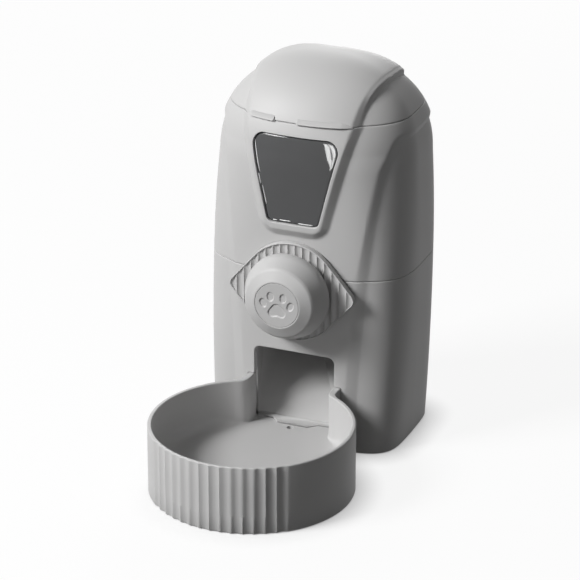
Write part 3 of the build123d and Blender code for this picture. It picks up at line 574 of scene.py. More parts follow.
@dataclass(frozen=True)
class BodyForm:
    """Outer form of the feeder: an upright block with a bowed front that closes into a dome.

    At height z the plan is half a superellipse in front of y = side and half a squarer one behind.
    A level, in millimetres, moves the wall out or in: cheeks lie under the mask, the crest stands
    over it.
    """

    waist_half: float = 69.7
    foot_half: float = 65.9
    shoulder_half: float = 68.0
    waist_z: float = 130.0
    shoulder_z: float = 186.0
    apex_z: float = 247.3
    apex_y: float = 24.1
    front_y: float = -35.0
    rear_y: float = 57.5
    side_y: float = 9.8
    rear_tuck: float = 0.0203
    foot_square: float = 4.84
    hood_square: float = 2.13
    hood_z: float = 200.0
    rear_square: float = 5.6
    dome_round: float = 2.24
    cheek_step: float = 1.8
    crest_rise: float = 3.0
    inner_level: float = -4.2
    band_low: float = 206.6
    band_high: float = 210.4
    mid_seam: float = 118.6
    lid_seam: float = 217.8
    mask_heights: tuple = (0.0, 40.0, 72.0, 120.5, 155.0, 189.5, 201.0, 225.0)
    mask_inner: tuple = (34.4, 35.0, 36.8, 41.5, 46.2, 51.6, 55.5, 62.0)
    mask_outer: tuple = (41.4, 42.4, 44.2, 48.1, 51.3, 55.7, 58.9, 65.5)
    crest_foot_half: float = 18.0
    crest_foot_z: float = 148.9
    crest_slope: float = 0.25
    crest_bevel: float = 4.8
    crest_corner: float = 5.0

    def sizes(self, z: Array, level: Array) -> tuple[Array, Array, Array, Array, Array]:
        """Plan sizes at a height.

        The half width swells from the foot to the waist and draws in to the shoulder by two
        parabolas. Over the shoulder all sizes shrink about the apex by (1 - p^k)^(1/k), where p is
        the share of the dome's height.

        Args:
            z: Heights.
            level: How far the wall is moved out.

        Returns:
            Squareness, half width, front y, rear y and the y where front and rear halves meet.
        """
        z = np.asarray(z, dtype=float)
        fall = (self.waist_z - z) / self.waist_z
        low = self.waist_half - (self.waist_half - self.foot_half) * fall**2
        rise = (z - self.waist_z) / (self.shoulder_z - self.waist_z)
        high = self.waist_half - (self.waist_half - self.shoulder_half) * np.minimum(rise, 1) ** 2
        half = np.where(z < self.waist_z, low, high)
        part = np.clip((z - self.shoulder_z) / (self.apex_z - self.shoulder_z + level), 0, 1)
        shrink = (1 - part**self.dome_round) ** (1 / self.dome_round)
        hood = np.clip(z / self.hood_z, 0, 1)
        square = self.foot_square - (self.foot_square - self.hood_square) * hood
        return square, (half + level) * shrink, *self.depths(level, shrink)

    def depths(self, level: Array, shrink: Array) -> tuple[Array, ...]:
        """Front, rear and side y, drawn in to the apex by shrink."""
        ends = (self.front_y - level, self.rear_y + level, self.side_y)
        return tuple(self.apex_y + (end - self.apex_y) * shrink for end in ends)

    def front(self, x: Array, z: Array, level: Array) -> Array:
        """Points of the front at x and z: y follows the superellipse (|x|/a)^n + (|y|/b)^n = 1."""
        square, half, front, _, side = self.sizes(z, level)
        share = np.clip(np.abs(x) / half, 0, 1)
        y = side + (front - side) * (1 - share**square) ** (1 / square)
        return np.stack(np.broadcast_arrays(x, y, z), axis=-1)

    def on_front(self, loop: Array, level: Array | float) -> Array:
        """Points in x and z (..., 2) set on the front at a level."""
        return self.front(loop[..., 0], loop[..., 1], level)

    def around(self, angle: Array, z: Array, level: Array) -> Array:
        """Points at an angle about the side line: 0 right, a quarter turn front, minus that rear.

        The distance in direction (c, s) of a superellipse is (|c|^n + |s|^n)^(-1/n).

        Args:
            angle: Angles.
            z: Heights.
            level: How far the wall is moved out.

        Returns:
            Points (..., 3).
        """
        return self.ring(angle, z, *self.sizes(z, level))

    def ring(
        self,
        angle: Array,
        z: Array,
        square: Array,
        half: Array,
        front: Array,
        rear: Array,
        side: Array,
    ) -> Array:
        """Points of the plan at given angles; behind the side line it narrows a little.

        Args:
            angle: Angles.
            z: Heights.
            square: Power of the front half's superellipse.
            half: Half width.
            front: y of the front.
            rear: y of the rear.
            side: y where the halves meet.

        Returns:
            Points (..., 3).
        """
        cos, sin = np.cos(angle), np.sin(angle)
        power = np.where(sin > 0, square, self.rear_square)
        reach = (np.abs(cos) ** power + np.abs(sin) ** power) ** (-1 / power)
        depth = np.where(sin > 0, side - front, rear - side)
        half = half * (1 - self.rear_tuck * np.clip(-reach * sin, 0, 1))
        x, y = half * reach * cos, side - depth * reach * sin
        return np.stack(np.broadcast_arrays(x, y, z), axis=-1)

    def edge_angle(self, x: float, z: Array, level: Array) -> Array:
        """Angle at which the front reaches x: tan = ((a/x)^n - 1)^(1/n)."""
        square, half, _, _, _ = self.sizes(z, level)
        return np.arctan(((half / x) ** square - 1) ** (1 / square))

    def mask(self, x: Array, z: Array) -> Array:
        """Share of the mask or hood level: 1 inside the front mask and over the shoulder band."""
        inner = np.interp(z, self.mask_heights, self.mask_inner)
        outer = np.interp(z, self.mask_heights, self.mask_outer)
        front = soft_clip((outer - np.abs(x)) / (outer - inner), 0.1)
        band = soft_clip((z - self.band_low) / (self.band_high - self.band_low), 0.12)
        return 1 - (1 - front) * (1 - band)

    def crest(self, x: Array, z: Array) -> Array:
        """Share of the crest level on the front: a rounded wedge round the window."""
        lean = math.cos(math.atan(self.crest_slope))
        foot = self.crest_foot_z - z
        side = (np.abs(x) - self.crest_foot_half + self.crest_slope * foot) * lean
        corner = self.crest_corner
        both = np.hypot(np.maximum(side + corner, 0), np.maximum(foot + corner, 0)) - corner
        return soft_clip(1 - both / self.crest_bevel, 0.07)

    def level(self, x: Array, z: Array) -> Array:
        """Level of the outer wall of the shells at x on the front, or at the side."""
        return -self.cheek_step * (1 - self.mask(x, z)) + self.crest_rise * self.crest(x, z)


FORM = BodyForm()


@dataclass
class Shell:
    """One half of the housing: a wall that goes round, with a front panel that has an opening."""

    low: float
    high: float
    panel_edge: float = 46.0
    edge_round: float = 0.5
    hole_round: float = 0.6
    front_columns: int = 40
    rear_columns: int = 64
    past_cheek: float = 80.0
    ring_power: float = 1.12
    draft: MeshDraft = field(default_factory=MeshDraft)

    def wall_level(self, x: Array, z: Array) -> Array:
        """Level of the outer wall, with its upper and lower edges rounded off."""
        drop = edge_drop(z - self.low, self.edge_round) + edge_drop(self.high - z, self.edge_round)
        return FORM.level(x, z) - drop

    def side_angles(self, z: Array, inner: bool) -> Array:
        """Angles (rows, columns) from the right edge of the panel, round the rear, to the left edge."""
        level = FORM.inner_level if inner else self.wall_level(np.full_like(z, self.panel_edge), z)
        start = FORM.edge_angle(self.panel_edge, z, level)[:, None]
        front = start * (1 - np.linspace(0, 1, self.front_columns)[None, :-1])
        rear = -np.linspace(0, np.pi / 2, self.rear_columns)
        rear = np.broadcast_to(rear, (len(z), self.rear_columns))
        right = np.concatenate([front, rear], axis=1)
        return np.concatenate([right, (-np.pi - right)[:, -2::-1]], axis=1)

    def outer_side(self, rows: Array) -> Array:
        """Outer wall beside the panel; the level is read at the x of level 0."""
        angle = self.side_angles(rows, False)
        z = np.broadcast_to(rows[:, None], angle.shape)
        level = np.full(angle.shape, 0.0)
        for _ in range(3):
            x = np.abs(FORM.around(angle, z, level)[..., 0])
            level = self.wall_level(np.where(np.sin(angle) > 0, x, self.past_cheek), z)
        return FORM.around(angle, z, level)

    def inner_side(self, rows: Array) -> Array:
        """Inner wall beside the panel."""
        angle = self.side_angles(rows, True)
        return FORM.around(angle, np.broadcast_to(rows[:, None], angle.shape), FORM.inner_level)

    def side_walls(self, rows: Array) -> tuple[Array, Array]:
        """Add the outer and inner walls beside the panel, and give them for the rims."""
        outer, inner = self.outer_side(rows), self.inner_side(rows)
        self.draft.grid(outer)
        self.draft.grid(inner)
        return outer, inner

    def panel_frame(self, rows: Array, across: int) -> tuple[Array, tuple[int, ...]]:
        """Outer loop of a panel in x and z, from its lower left, and the points on each side."""
        edge, tall = self.panel_edge, len(rows) - 1
        x = np.linspace(-edge, edge, across + 1)[:-1]
        foot = np.stack([x, np.full(across, rows[0])], axis=1)
        right = np.stack([np.full(tall, edge), rows[:-1]], axis=1)
        head = np.stack([-x, np.full(across, rows[-1])], axis=1)
        left = np.stack([np.full(tall, -edge), rows[:0:-1]], axis=1)
        return np.concatenate([foot, right, head, left]), (across, tall, across, tall)

    def panel(self, hole: Array, rim: Array, rings: int, rounded: float) -> Array:
        """Outer skin between a hole and the panel's frame.

        Points run on straight lines from hole to frame, close together next to the hole, where the
        skin bends in by a quarter circle.

        Args:
            hole: Loop of the hole (n, 2) in x and z.
            rim: Loop of the frame (n, 2).
            rings: Number of loops between them.
            rounded: Radius of the hole's edge.

        Returns:
            Points (loops, n, 3), hole first.
        """
        reach = rim - hole
        length = np.linalg.norm(reach, axis=1)[None, :]
        near = rounded * ROUND_STEPS[:, None] * np.ones_like(length)
        share = np.linspace(0, 1, rings)[1:, None] ** self.ring_power
        far = rounded + (length - rounded) * share
        last = length - np.minimum(length * 0.2, self.edge_round * ROUND_STEPS[3:0:-1, None])
        away = np.sort(np.concatenate([near, far[:-1], last, far[-1:]]), axis=0)
        flat = hole[None] + reach[None] * (away / length)[..., None]
        level = self.wall_level(flat[..., 0], flat[..., 1]) - edge_drop(away, rounded)
        return FORM.on_front(flat, level)

    def inner_panel(self, hole: Array, rim: Array, rings: int = 5) -> Array:
        """Inner skin between a hole and the panel's frame, hole first."""
        share = np.linspace(0, 1, rings)[:, None, None]
        return FORM.on_front(hole[None] * (1 - share) + rim[None] * share, FORM.inner_level)

    def foot_and_head(self, counts: Sequence[int]) -> tuple[Array, Array]:
        """Indices of the foot and of the head in a panel's loop."""
        across, tall = counts[:2]
        return np.arange(across + 1), np.arange(across + tall, 2 * across + tall + 1)


@dataclass(frozen=True)
class Window:
    """The window in x and z: a wedge with rounded corners, wider at its head."""

    low: float = 152.9
    high: float = 210.1
    foot_half: float = 17.0
    head_half: float = 30.8
    foot_corner: float = 4.5
    head_corner: float = 8.0
    least_corner: float = 0.6

    @property
    def slope(self) -> float:
        """How much the half width grows with height."""
        return (self.head_half - self.foot_half) / (self.high - self.low)

    def loop(self, grow: float, counts: Sequence[int]) -> Array:
        """Outline moved out by grow, with a set number of points on each side."""
        wide = grow * math.sqrt(1 + self.slope**2)
        foot = self.foot_half - grow * self.slope + wide
        head = self.head_half + grow * self.slope + wide
        low, high = self.low - grow, self.high + grow
        corners = np.array([[-foot, low], [foot, low], [head, high], [-head, high]])
        radii = np.repeat([self.foot_corner, self.head_corner], 2) + grow
        return loop_sides(*rounded_loop(corners, np.maximum(radii, self.least_corner)), counts)


WINDOW = Window()


@dataclass(frozen=True)
class Hinge:
    """Places of the lid's hinge: axis in y and z, radius of the lugs' eyes, middles of the two sets."""

    axis: tuple = (58.52, 219.3)
    eye: float = 3.6
    middles: tuple = (-30.0, 30.0)
    edge: float = 0.4

    def lug(self, wall_y: float, foot: float, head: float, x0: float, x1: float) -> Array:
        """Lug from a wall to the hinge axis, as sections carried along x.

        The outline is the hull of the lug's eye and a line on the wall: for each direction it has
        the point that lies furthest that way.

        Args:
            wall_y: Where the wall is.
            foot: Lower end on the wall.
            head: Upper end on the wall.
            x0: First side.
            x1: Second side.

        Returns:
            Points (around, along, 3).
        """
        turn = full_turn(64)
        ways = np.stack([np.cos(turn), np.sin(turn)], axis=1)
        eye = np.array(self.axis) + self.eye * ways
        points = np.concatenate([eye, [[wall_y, foot], [wall_y, head]]])
        outline = points[np.argmax(ways @ points.T, axis=1)]
        steps = self.edge * np.array([0.0, 0.25, 1.0])
        inset = np.concatenate([steps[::-1], steps])
        along = np.concatenate([x0 + steps, x1 - steps[::-1]])
        away = unit(outline - outline.mean(axis=0))
        plan = outline[:, None, :] - away[:, None, :] * inset[None, :, None]
        x = np.broadcast_to(along[None, :, None], plan.shape[:2] + (1,))
        return np.concatenate([x, plan], axis=2)


HINGE = Hinge()


@dataclass
class UpperShell(Shell):
    """Upper half of the housing with the window, the lid's rim and the hinge lugs."""

    low: float = FORM.mid_seam + 0.1
    high: float = FORM.lid_seam
    rim_level: float = -2.9
    rim_wall: float = 1.8
    rim_top: float = FORM.lid_seam + 4.0
    pane_wall: float = 2.4
    pane_flange: float = 3.6
    lug_wall: float = 53.5
    lug_drops: tuple = (18.0, 3.0)
    lug_thick: float = 4.0

    def build(self, finishes: Finishes) -> None:
        """Make the shell and dress it."""
        band = np.linspace(FORM.band_low - 0.9, FORM.band_high + 0.9, 13)
        rows = spread(self.low, self.high, 1.15, self.edge_round, band)
        rim, counts = self.panel_frame(rows, 64)
        hole, pocket = WINDOW.loop(0.0, counts), WINDOW.loop(self.pane_flange, counts)
        outer = self.panel(hole, rim, 44, self.hole_round)
        inner = self.inner_panel(pocket, rim)
        back = FORM.crest_rise - self.pane_wall
        seat = [FORM.on_front(hole, back), FORM.on_front(pocket, back)]
        self.draft.rings(outer, inner, np.stack([outer[0], *seat, inner[0]]))
        side_out, side_in = self.side_walls(rows)
        foot, head = self.foot_and_head(counts)
        self.draft.strip(outer[-1][foot], inner[-1][foot])
        self.draft.strip(side_out[0], side_in[0])
        self.rim(outer[-1][head], inner[-1][head], side_out[-1], side_in[-1])
        self.lugs()
        shell = self.draft.build("upper_housing_shell")
        finishes.dress(shell, Slot.GREY, Body.HOUSING, "upper_shell")

    def rim(self, outer: Array, inner: Array, side_out: Array, side_in: Array) -> None:
        """Close the head with its raised rim for the lid.

        Args:
            outer: Head line of the panel's outer skin.
            inner: Head line of its inner skin.
            side_out: Head line of the outer wall beside the panel.
            side_in: Head line of the inner wall.
        """
        rim, top = self.rim_level, self.rim_top
        inside = rim - self.rim_wall
        profile = [(rim, self.high), (rim, top - 0.4), (rim - 0.1, top - 0.1), (rim - 0.4, top)]
        profile += [(inside + 0.4, top), (inside + 0.1, top - 0.1)]
        profile += [(inside, top - 0.4), (inside, self.high)]
        levels = np.array(profile)
        middle = FORM.front(outer[None, :, 0], levels[:, 1:], levels[:, :1])
        self.draft.grid(np.concatenate([outer[None], middle, inner[None]]))
        angle = self.side_angles(np.array([self.high]), False)[0]
        fade = np.clip(np.sin(angle) / np.sin(angle[0]), 0, 1)
        beside = []
        for level, z in profile:
            start = FORM.edge_angle(self.panel_edge, np.array([z]), level)
            turn = angle + (start - angle[0]) * fade
            turn = np.where(angle < -np.pi / 2, -np.pi - turn[::-1], turn)
            beside.append(FORM.around(turn, np.full(turn.shape, z), level))
        self.draft.grid(np.concatenate([side_out[None], np.array(beside), side_in[None]]))

    def lugs(self) -> None:
        """Add the four hinge lugs behind the shell."""
        foot, head = (self.high - drop for drop in self.lug_drops)
        for middle in HINGE.middles:
            for start in (middle - 2 * self.lug_thick, middle + self.lug_thick):
                self.draft.tube(HINGE.lug(self.lug_wall, foot, head, start, start + self.lug_thick))


@dataclass
class LowerShell(Shell):
    """Lower half of the housing with the outlet and the pocket of the clamp's nut."""

    low: float = 0.0
    high: float = FORM.mid_seam - 0.1
    split: float = 84.0
    outlet_half: float = 27.6
    neck_half: float = 32.4
    neck_foot: float = 11.3
    neck_head: float = 44.9
    outlet_head: float = 64.7
    outlet_corner: float = 4.5
    nut_z: float = 107.9
    nut_pocket: float = 8.6
    nut_depth: float = 4.4
    stud_hole: float = 4.1

    def outlet_loop(self, grow: float, counts: Sequence[int]) -> Array:
        """Outline of the outlet: a wide foot for the bowl's neck and a narrower head."""
        wide, slim = self.neck_half + grow, self.outlet_half + grow
        foot, step, head = self.neck_foot - grow, self.neck_head + grow, self.outlet_head + grow
        right = np.array([[wide, foot], [wide, step], [slim, step], [slim, head]])
        left = (right * [-1, 1])[::-1]
        corners = np.concatenate([left[-1:], right, left[:-1]])
        radii = np.array([1.2, 1.2, 0.8, 0.6, self.outlet_corner, self.outlet_corner, 0.6, 0.8])
        loop, stops = rounded_loop(corners, radii)
        return loop_sides(loop, [stops[0], stops[1], stops[4], stops[5]], counts)

    def build(self, finishes: Finishes) -> None:
        """Make the shell: the panel with the outlet, the one with the nut's pocket, and the sides."""
        rows = spread(self.low, self.high, 1.2, self.edge_round, [self.split])
        cut = int(np.argmin(np.abs(rows - self.split)))
        rim, counts = self.panel_frame(rows[: cut + 1], 60)
        hole = self.outlet_loop(0.0, counts)
        outer, inner = self.panel(hole, rim, 32, self.hole_round), self.inner_panel(hole, rim)
        self.draft.rings(outer, inner)
        self.draft.strip(outer[0], inner[0], closed=True)
        rim_up, counts_up = self.panel_frame(rows[cut:], 60)
        pocket = circle_loop(self.nut_z, self.nut_pocket, counts_up)
        bore = circle_loop(self.nut_z, self.stud_hole, counts_up)
        outer_up, inner_up = self.panel(pocket, rim_up, 20, 0.4), self.inner_panel(bore, rim_up)
        seat = np.stack([FORM.on_front(pocket, 0.0), FORM.on_front(bore, 0.0)])
        seat[..., 1] = FORM.front_y + self.nut_depth
        self.draft.rings(outer_up, inner_up, np.stack([outer_up[0], *seat, inner_up[0]]))
        side_out, side_in = self.side_walls(rows)
        foot, _ = self.foot_and_head(counts)
        _, head = self.foot_and_head(counts_up)
        self.draft.strip(outer[-1][foot], inner[-1][foot])
        self.draft.strip(outer_up[-1][head], inner_up[-1][head])
        self.draft.strip(side_out[0], side_in[0])
        self.draft.strip(side_out[-1], side_in[-1])
        shell = self.draft.build("lower_housing_shell")
        finishes.dress(shell, Slot.GREY, Body.HOUSING, "lower_shell")


@dataclass
class Lid:
    """Domed lid with the crest, two finger lips, the ledge of its seal and its hinge lugs."""

    seam: float = FORM.lid_seam + 0.3
    wall: float = 2.4
    columns: int = 440
    rows: int = 104
    inner_rows: int = 22
    edge_round: float = 0.5
    crest_half: float = 41.7
    crest_front: float = 40.0
    crest_spread: float = 0.2
    crest_rear: float = 44.0
    crest_fade: float = 3.5
    bevel_y: tuple = (-25.0, -8.0)
    bevel_wide: tuple = (4.4, 2.8)
    lips: tuple = ((-12.7, -36.0), (-1.5, 35.5))
    lip_reach: float = 2.0
    lip_height: float = 2.9
    lip_slant: float = 2.8
    lug_wall: float = 50.6
    lug_rises: tuple = (0.7, 9.7)
    lug_half: float = 3.7
    seal_ledge: tuple = ((-1.8, 224.1), (-5.6, 224.1), (-5.6, 225.7), (-1.8, 225.7))

    def dome(self, angle: Array, rise: Array, level: Array) -> Array:
        """Points of the dome.

        The section is a superellipse of height over shrink: with b going from the seam to a
        quarter turn, shrink = cos b / (cos^k b + sin^k b)^(1/k), and height likewise with sin b.

        Args:
            angle: Angle in plan.
            rise: 0 at the seam, 1 at the apex.
            level: How far the wall is moved out.

        Returns:
            Points (..., 3).
        """
        tall = FORM.apex_z - FORM.shoulder_z + level
        part0 = (self.seam - FORM.shoulder_z) / tall
        k = FORM.dome_round
        start = np.arctan2(part0, (1 - part0**k) ** (1 / k))
        turn = start + (np.pi / 2 - start) * rise
        cos, sin = np.abs(np.cos(turn)), np.sin(turn)
        scale = (cos**k + sin**k) ** (-1 / k)
        shrink, part = cos * scale, sin * scale
        half = (FORM.shoulder_half + level) * shrink
        z = FORM.shoulder_z + tall * part
        return FORM.ring(angle, z, FORM.hood_square, half, *FORM.depths(level, shrink))

    def crest(self, points: Array, high: Array) -> Array:
        """Share of the crest on the lid.

        The crest widens a little as it runs back from the front, up to the long sides over the
        top, and fades out on the rear wall. Its bevel is wide at the front and narrow at the sides.

        Args:
            points: Where the skin is now.
            high: Where it would be at crest level.

        Returns:
            Share from 0 to 1.
        """
        y = high[..., 1]
        wide = soft_min(self.crest_front + self.crest_spread * y, self.crest_half, 2.5)
        bevel = np.interp(y, self.bevel_y, self.bevel_wide)
        share = soft_clip(1 - (np.abs(points[..., 0]) - wide) / bevel, 0.07)
        return share * soft_clip((self.crest_rear - y) / self.crest_fade, 0.15)

    def outer(self) -> Array:
        """Outer skin; the level is found in a few rounds, because it moves the skin it is read on."""
        angle = full_turn(self.columns)[None, :]
        rise = np.concatenate([[0.0, 0.0012, 0.0035, 0.007], np.linspace(0.013, 1, self.rows)])[:, None]
        high = self.dome(angle, rise, FORM.crest_rise)
        level = np.full(high.shape[:2], FORM.crest_rise)
        for _ in range(4):
            points = self.dome(angle, rise, level)
            drop = edge_drop(points[..., 2] - self.seam, self.edge_round)
            level = FORM.crest_rise * self.crest(points, high) - drop
        level[-1] = FORM.crest_rise
        return self.dome(angle, rise, level)

    def band(self, draft: MeshDraft, profile: Sequence[tuple[float, float]]) -> None:
        """Add a closed ring whose section is given as (level, z) pairs."""
        angle = full_turn(self.columns // 2)[None, :]
        level, z = np.array(profile).T
        draft.grid(FORM.around(angle, z[:, None], level[:, None]), close_rows=True, close_cols=True)

    def lip(self, start: float, end: float) -> Array:
        """Finger lip along the front edge, as sections carried along x.

        The section is a wedge that leans back to the crest. Its end at the gap is cut at a slant,
        and the far end runs out to nothing.

        Args:
            start: x of the end at the gap.
            end: x of the far end.

        Returns:
            Points (around, along, 3).
        """
        share = np.linspace(0, 1, 60)[None, :]
        fade = np.clip((1 - share) / 0.2, 0.01, 1) ** 0.6
        out = np.array([0.0, 0.9, 1.0, 0.94, 0.0, 0.0])[:, None]
        up = np.array([0.0, 0.0, 0.07, 0.2, 1.0, 1.0])[:, None]
        deep = np.array([1.0, 0.0, 0.0, 0.0, 0.0, 1.0])[:, None]
        slant = self.lip_slant * np.maximum(out, 0.8 * up) * (1 - share) * np.sign(end - start)
        x = start + (end - start) * share + slant
        z = self.seam + self.lip_height * fade * up
        wall = FORM.front(x, z, FORM.crest_rise - 0.1)[..., 1]
        y = wall - self.lip_reach * fade * out + 2.0 * deep
        return np.stack([x, y, z], axis=-1)

    def build(self, finishes: Finishes) -> None:
        """Make the lid and dress it."""
        draft = MeshDraft()
        outer = self.outer()
        angle = full_turn(self.columns)[None, :]
        rise = np.linspace(0, 1, self.inner_rows)[:, None]
        inner = self.dome(angle, rise, np.full((self.inner_rows, self.columns), -self.wall))
        draft.rings(outer, inner)
        draft.strip(outer[0], inner[0], closed=True)
        self.band(draft, self.seal_ledge)
        for start, end in self.lips:
            draft.tube(self.lip(start, end))
        foot, head = (self.seam + rise for rise in self.lug_rises)
        for middle in HINGE.middles:
            start, end = middle - self.lug_half, middle + self.lug_half
            draft.tube(HINGE.lug(self.lug_wall, foot, head, start, end))
        finishes.dress(draft.build("domed_lid"), Slot.GREY, Body.LID, "lid_shell")


@dataclass
class WindowPane:
    """Smoked pane with a rounded plug in the window and a flange behind the wall."""

    sink: float = 1.2
    clearance: float = 0.2
    edge: float = 1.3
    flange: float = 3.2
    flange_level: float = 0.4
    back_level: float = -1.1
    middle_z: float = 183.0
    counts: tuple = (40, 60, 60, 60)
    # Painted highlights: pale beads on the pane's left edge and foot only, where its edge shows bright
    # lines.
    highlight_bead_radius: float = 0.3
    side_highlight_beads: tuple = ((204.0, 184.5, 1.7), (183.6, 176.8, 0.7), (176.2, 164.0, 1.7))
    foot_highlight_beads: tuple = ((-13.5, -10.5, 1.5), (-9.0, -1.5, 1.9), (3.5, 13.5, 1.2))

    def highlight_beads(self, finishes: Finishes) -> None:
        """Make pale beads along the pane's left edge and foot, between its clip notches: painted
        highlights of the pane's edge.
        """
        low, slope = WINDOW.low, WINDOW.slope
        draft = MeshDraft()
        along = np.linspace(0, 1, 40)
        for start, end, inset in self.side_highlight_beads:
            z = start + (end - start) * along
            x = -(WINDOW.foot_half + slope * (z - low)) + inset * math.hypot(1, slope)
            draft.tube(self.highlight_bead(x, z, (1.0, 0.0)))
        for start, end, inset in self.foot_highlight_beads:
            x = start + (end - start) * along
            draft.tube(self.highlight_bead(x, np.full_like(x, low + inset), (0.0, 1.0)))
        # Pale material: the beads are painted highlights and replace no CAD node.
        finishes.dress(draft.build("painted_highlight_beads"), Slot.PANE, Body.HOUSING, clear=True)

    def highlight_bead(self, x: Array, z: Array, across: tuple[float, float]) -> Array:
        """Round bead for a painted highlight along a path on the pane's face, thinner at its ends:
        (around, along, 3).
        """
        turn = full_turn(10)[:, None]
        count = np.arange(len(x))
        radius = self.highlight_bead_radius * np.clip(0.2 + np.minimum(count, count[::-1]) / 6, 0, 1)
        side = radius * np.cos(turn)
        level = FORM.crest_rise - self.sink + radius * np.sin(turn)
        return FORM.front(x + side * across[0], z + side * across[1], level)

    def build(self, finishes: Finishes) -> None:
        """Make the pane: loops from the middle of the face over its rounded edge to the back."""
        counts = self.counts
        draft = MeshDraft()
        plug = WINDOW.loop(-self.clearance, counts)
        wide = WINDOW.loop(self.flange, counts)
        middle = np.array([0.0, self.middle_z])
        inset = np.array([1.3, 0.95, 0.6, 0.3, 0.1, 0.0])
        loops = np.stack([WINDOW.loop(-self.clearance - d, counts) for d in inset])
        face = FORM.crest_rise - self.sink
        drop = self.edge - np.sqrt(np.maximum(self.edge**2 - (self.edge - inset) ** 2, 0))
        shares = np.linspace(0, 1, 18)[:-1, None, None]
        centre = middle + (loops[0][None] - middle) * shares
        front = FORM.on_front(centre, face)
        rounded = FORM.on_front(loops, face - drop[:, None])
        levels = np.array([self.flange_level, self.flange_level, self.back_level])
        collar = FORM.on_front(np.stack([plug, wide, wide]), levels[:, None])
        behind = middle + (wide[None] - middle) * np.linspace(1, 0, 12)[1:, None, None]
        back = FORM.on_front(behind, self.back_level)
        draft.rings(np.concatenate([front, rounded, collar, back]))
        pane = draft.build("smoked_window_pane")
        finishes.dress(pane, Slot.PANE, Body.HOUSING, "window_pane")


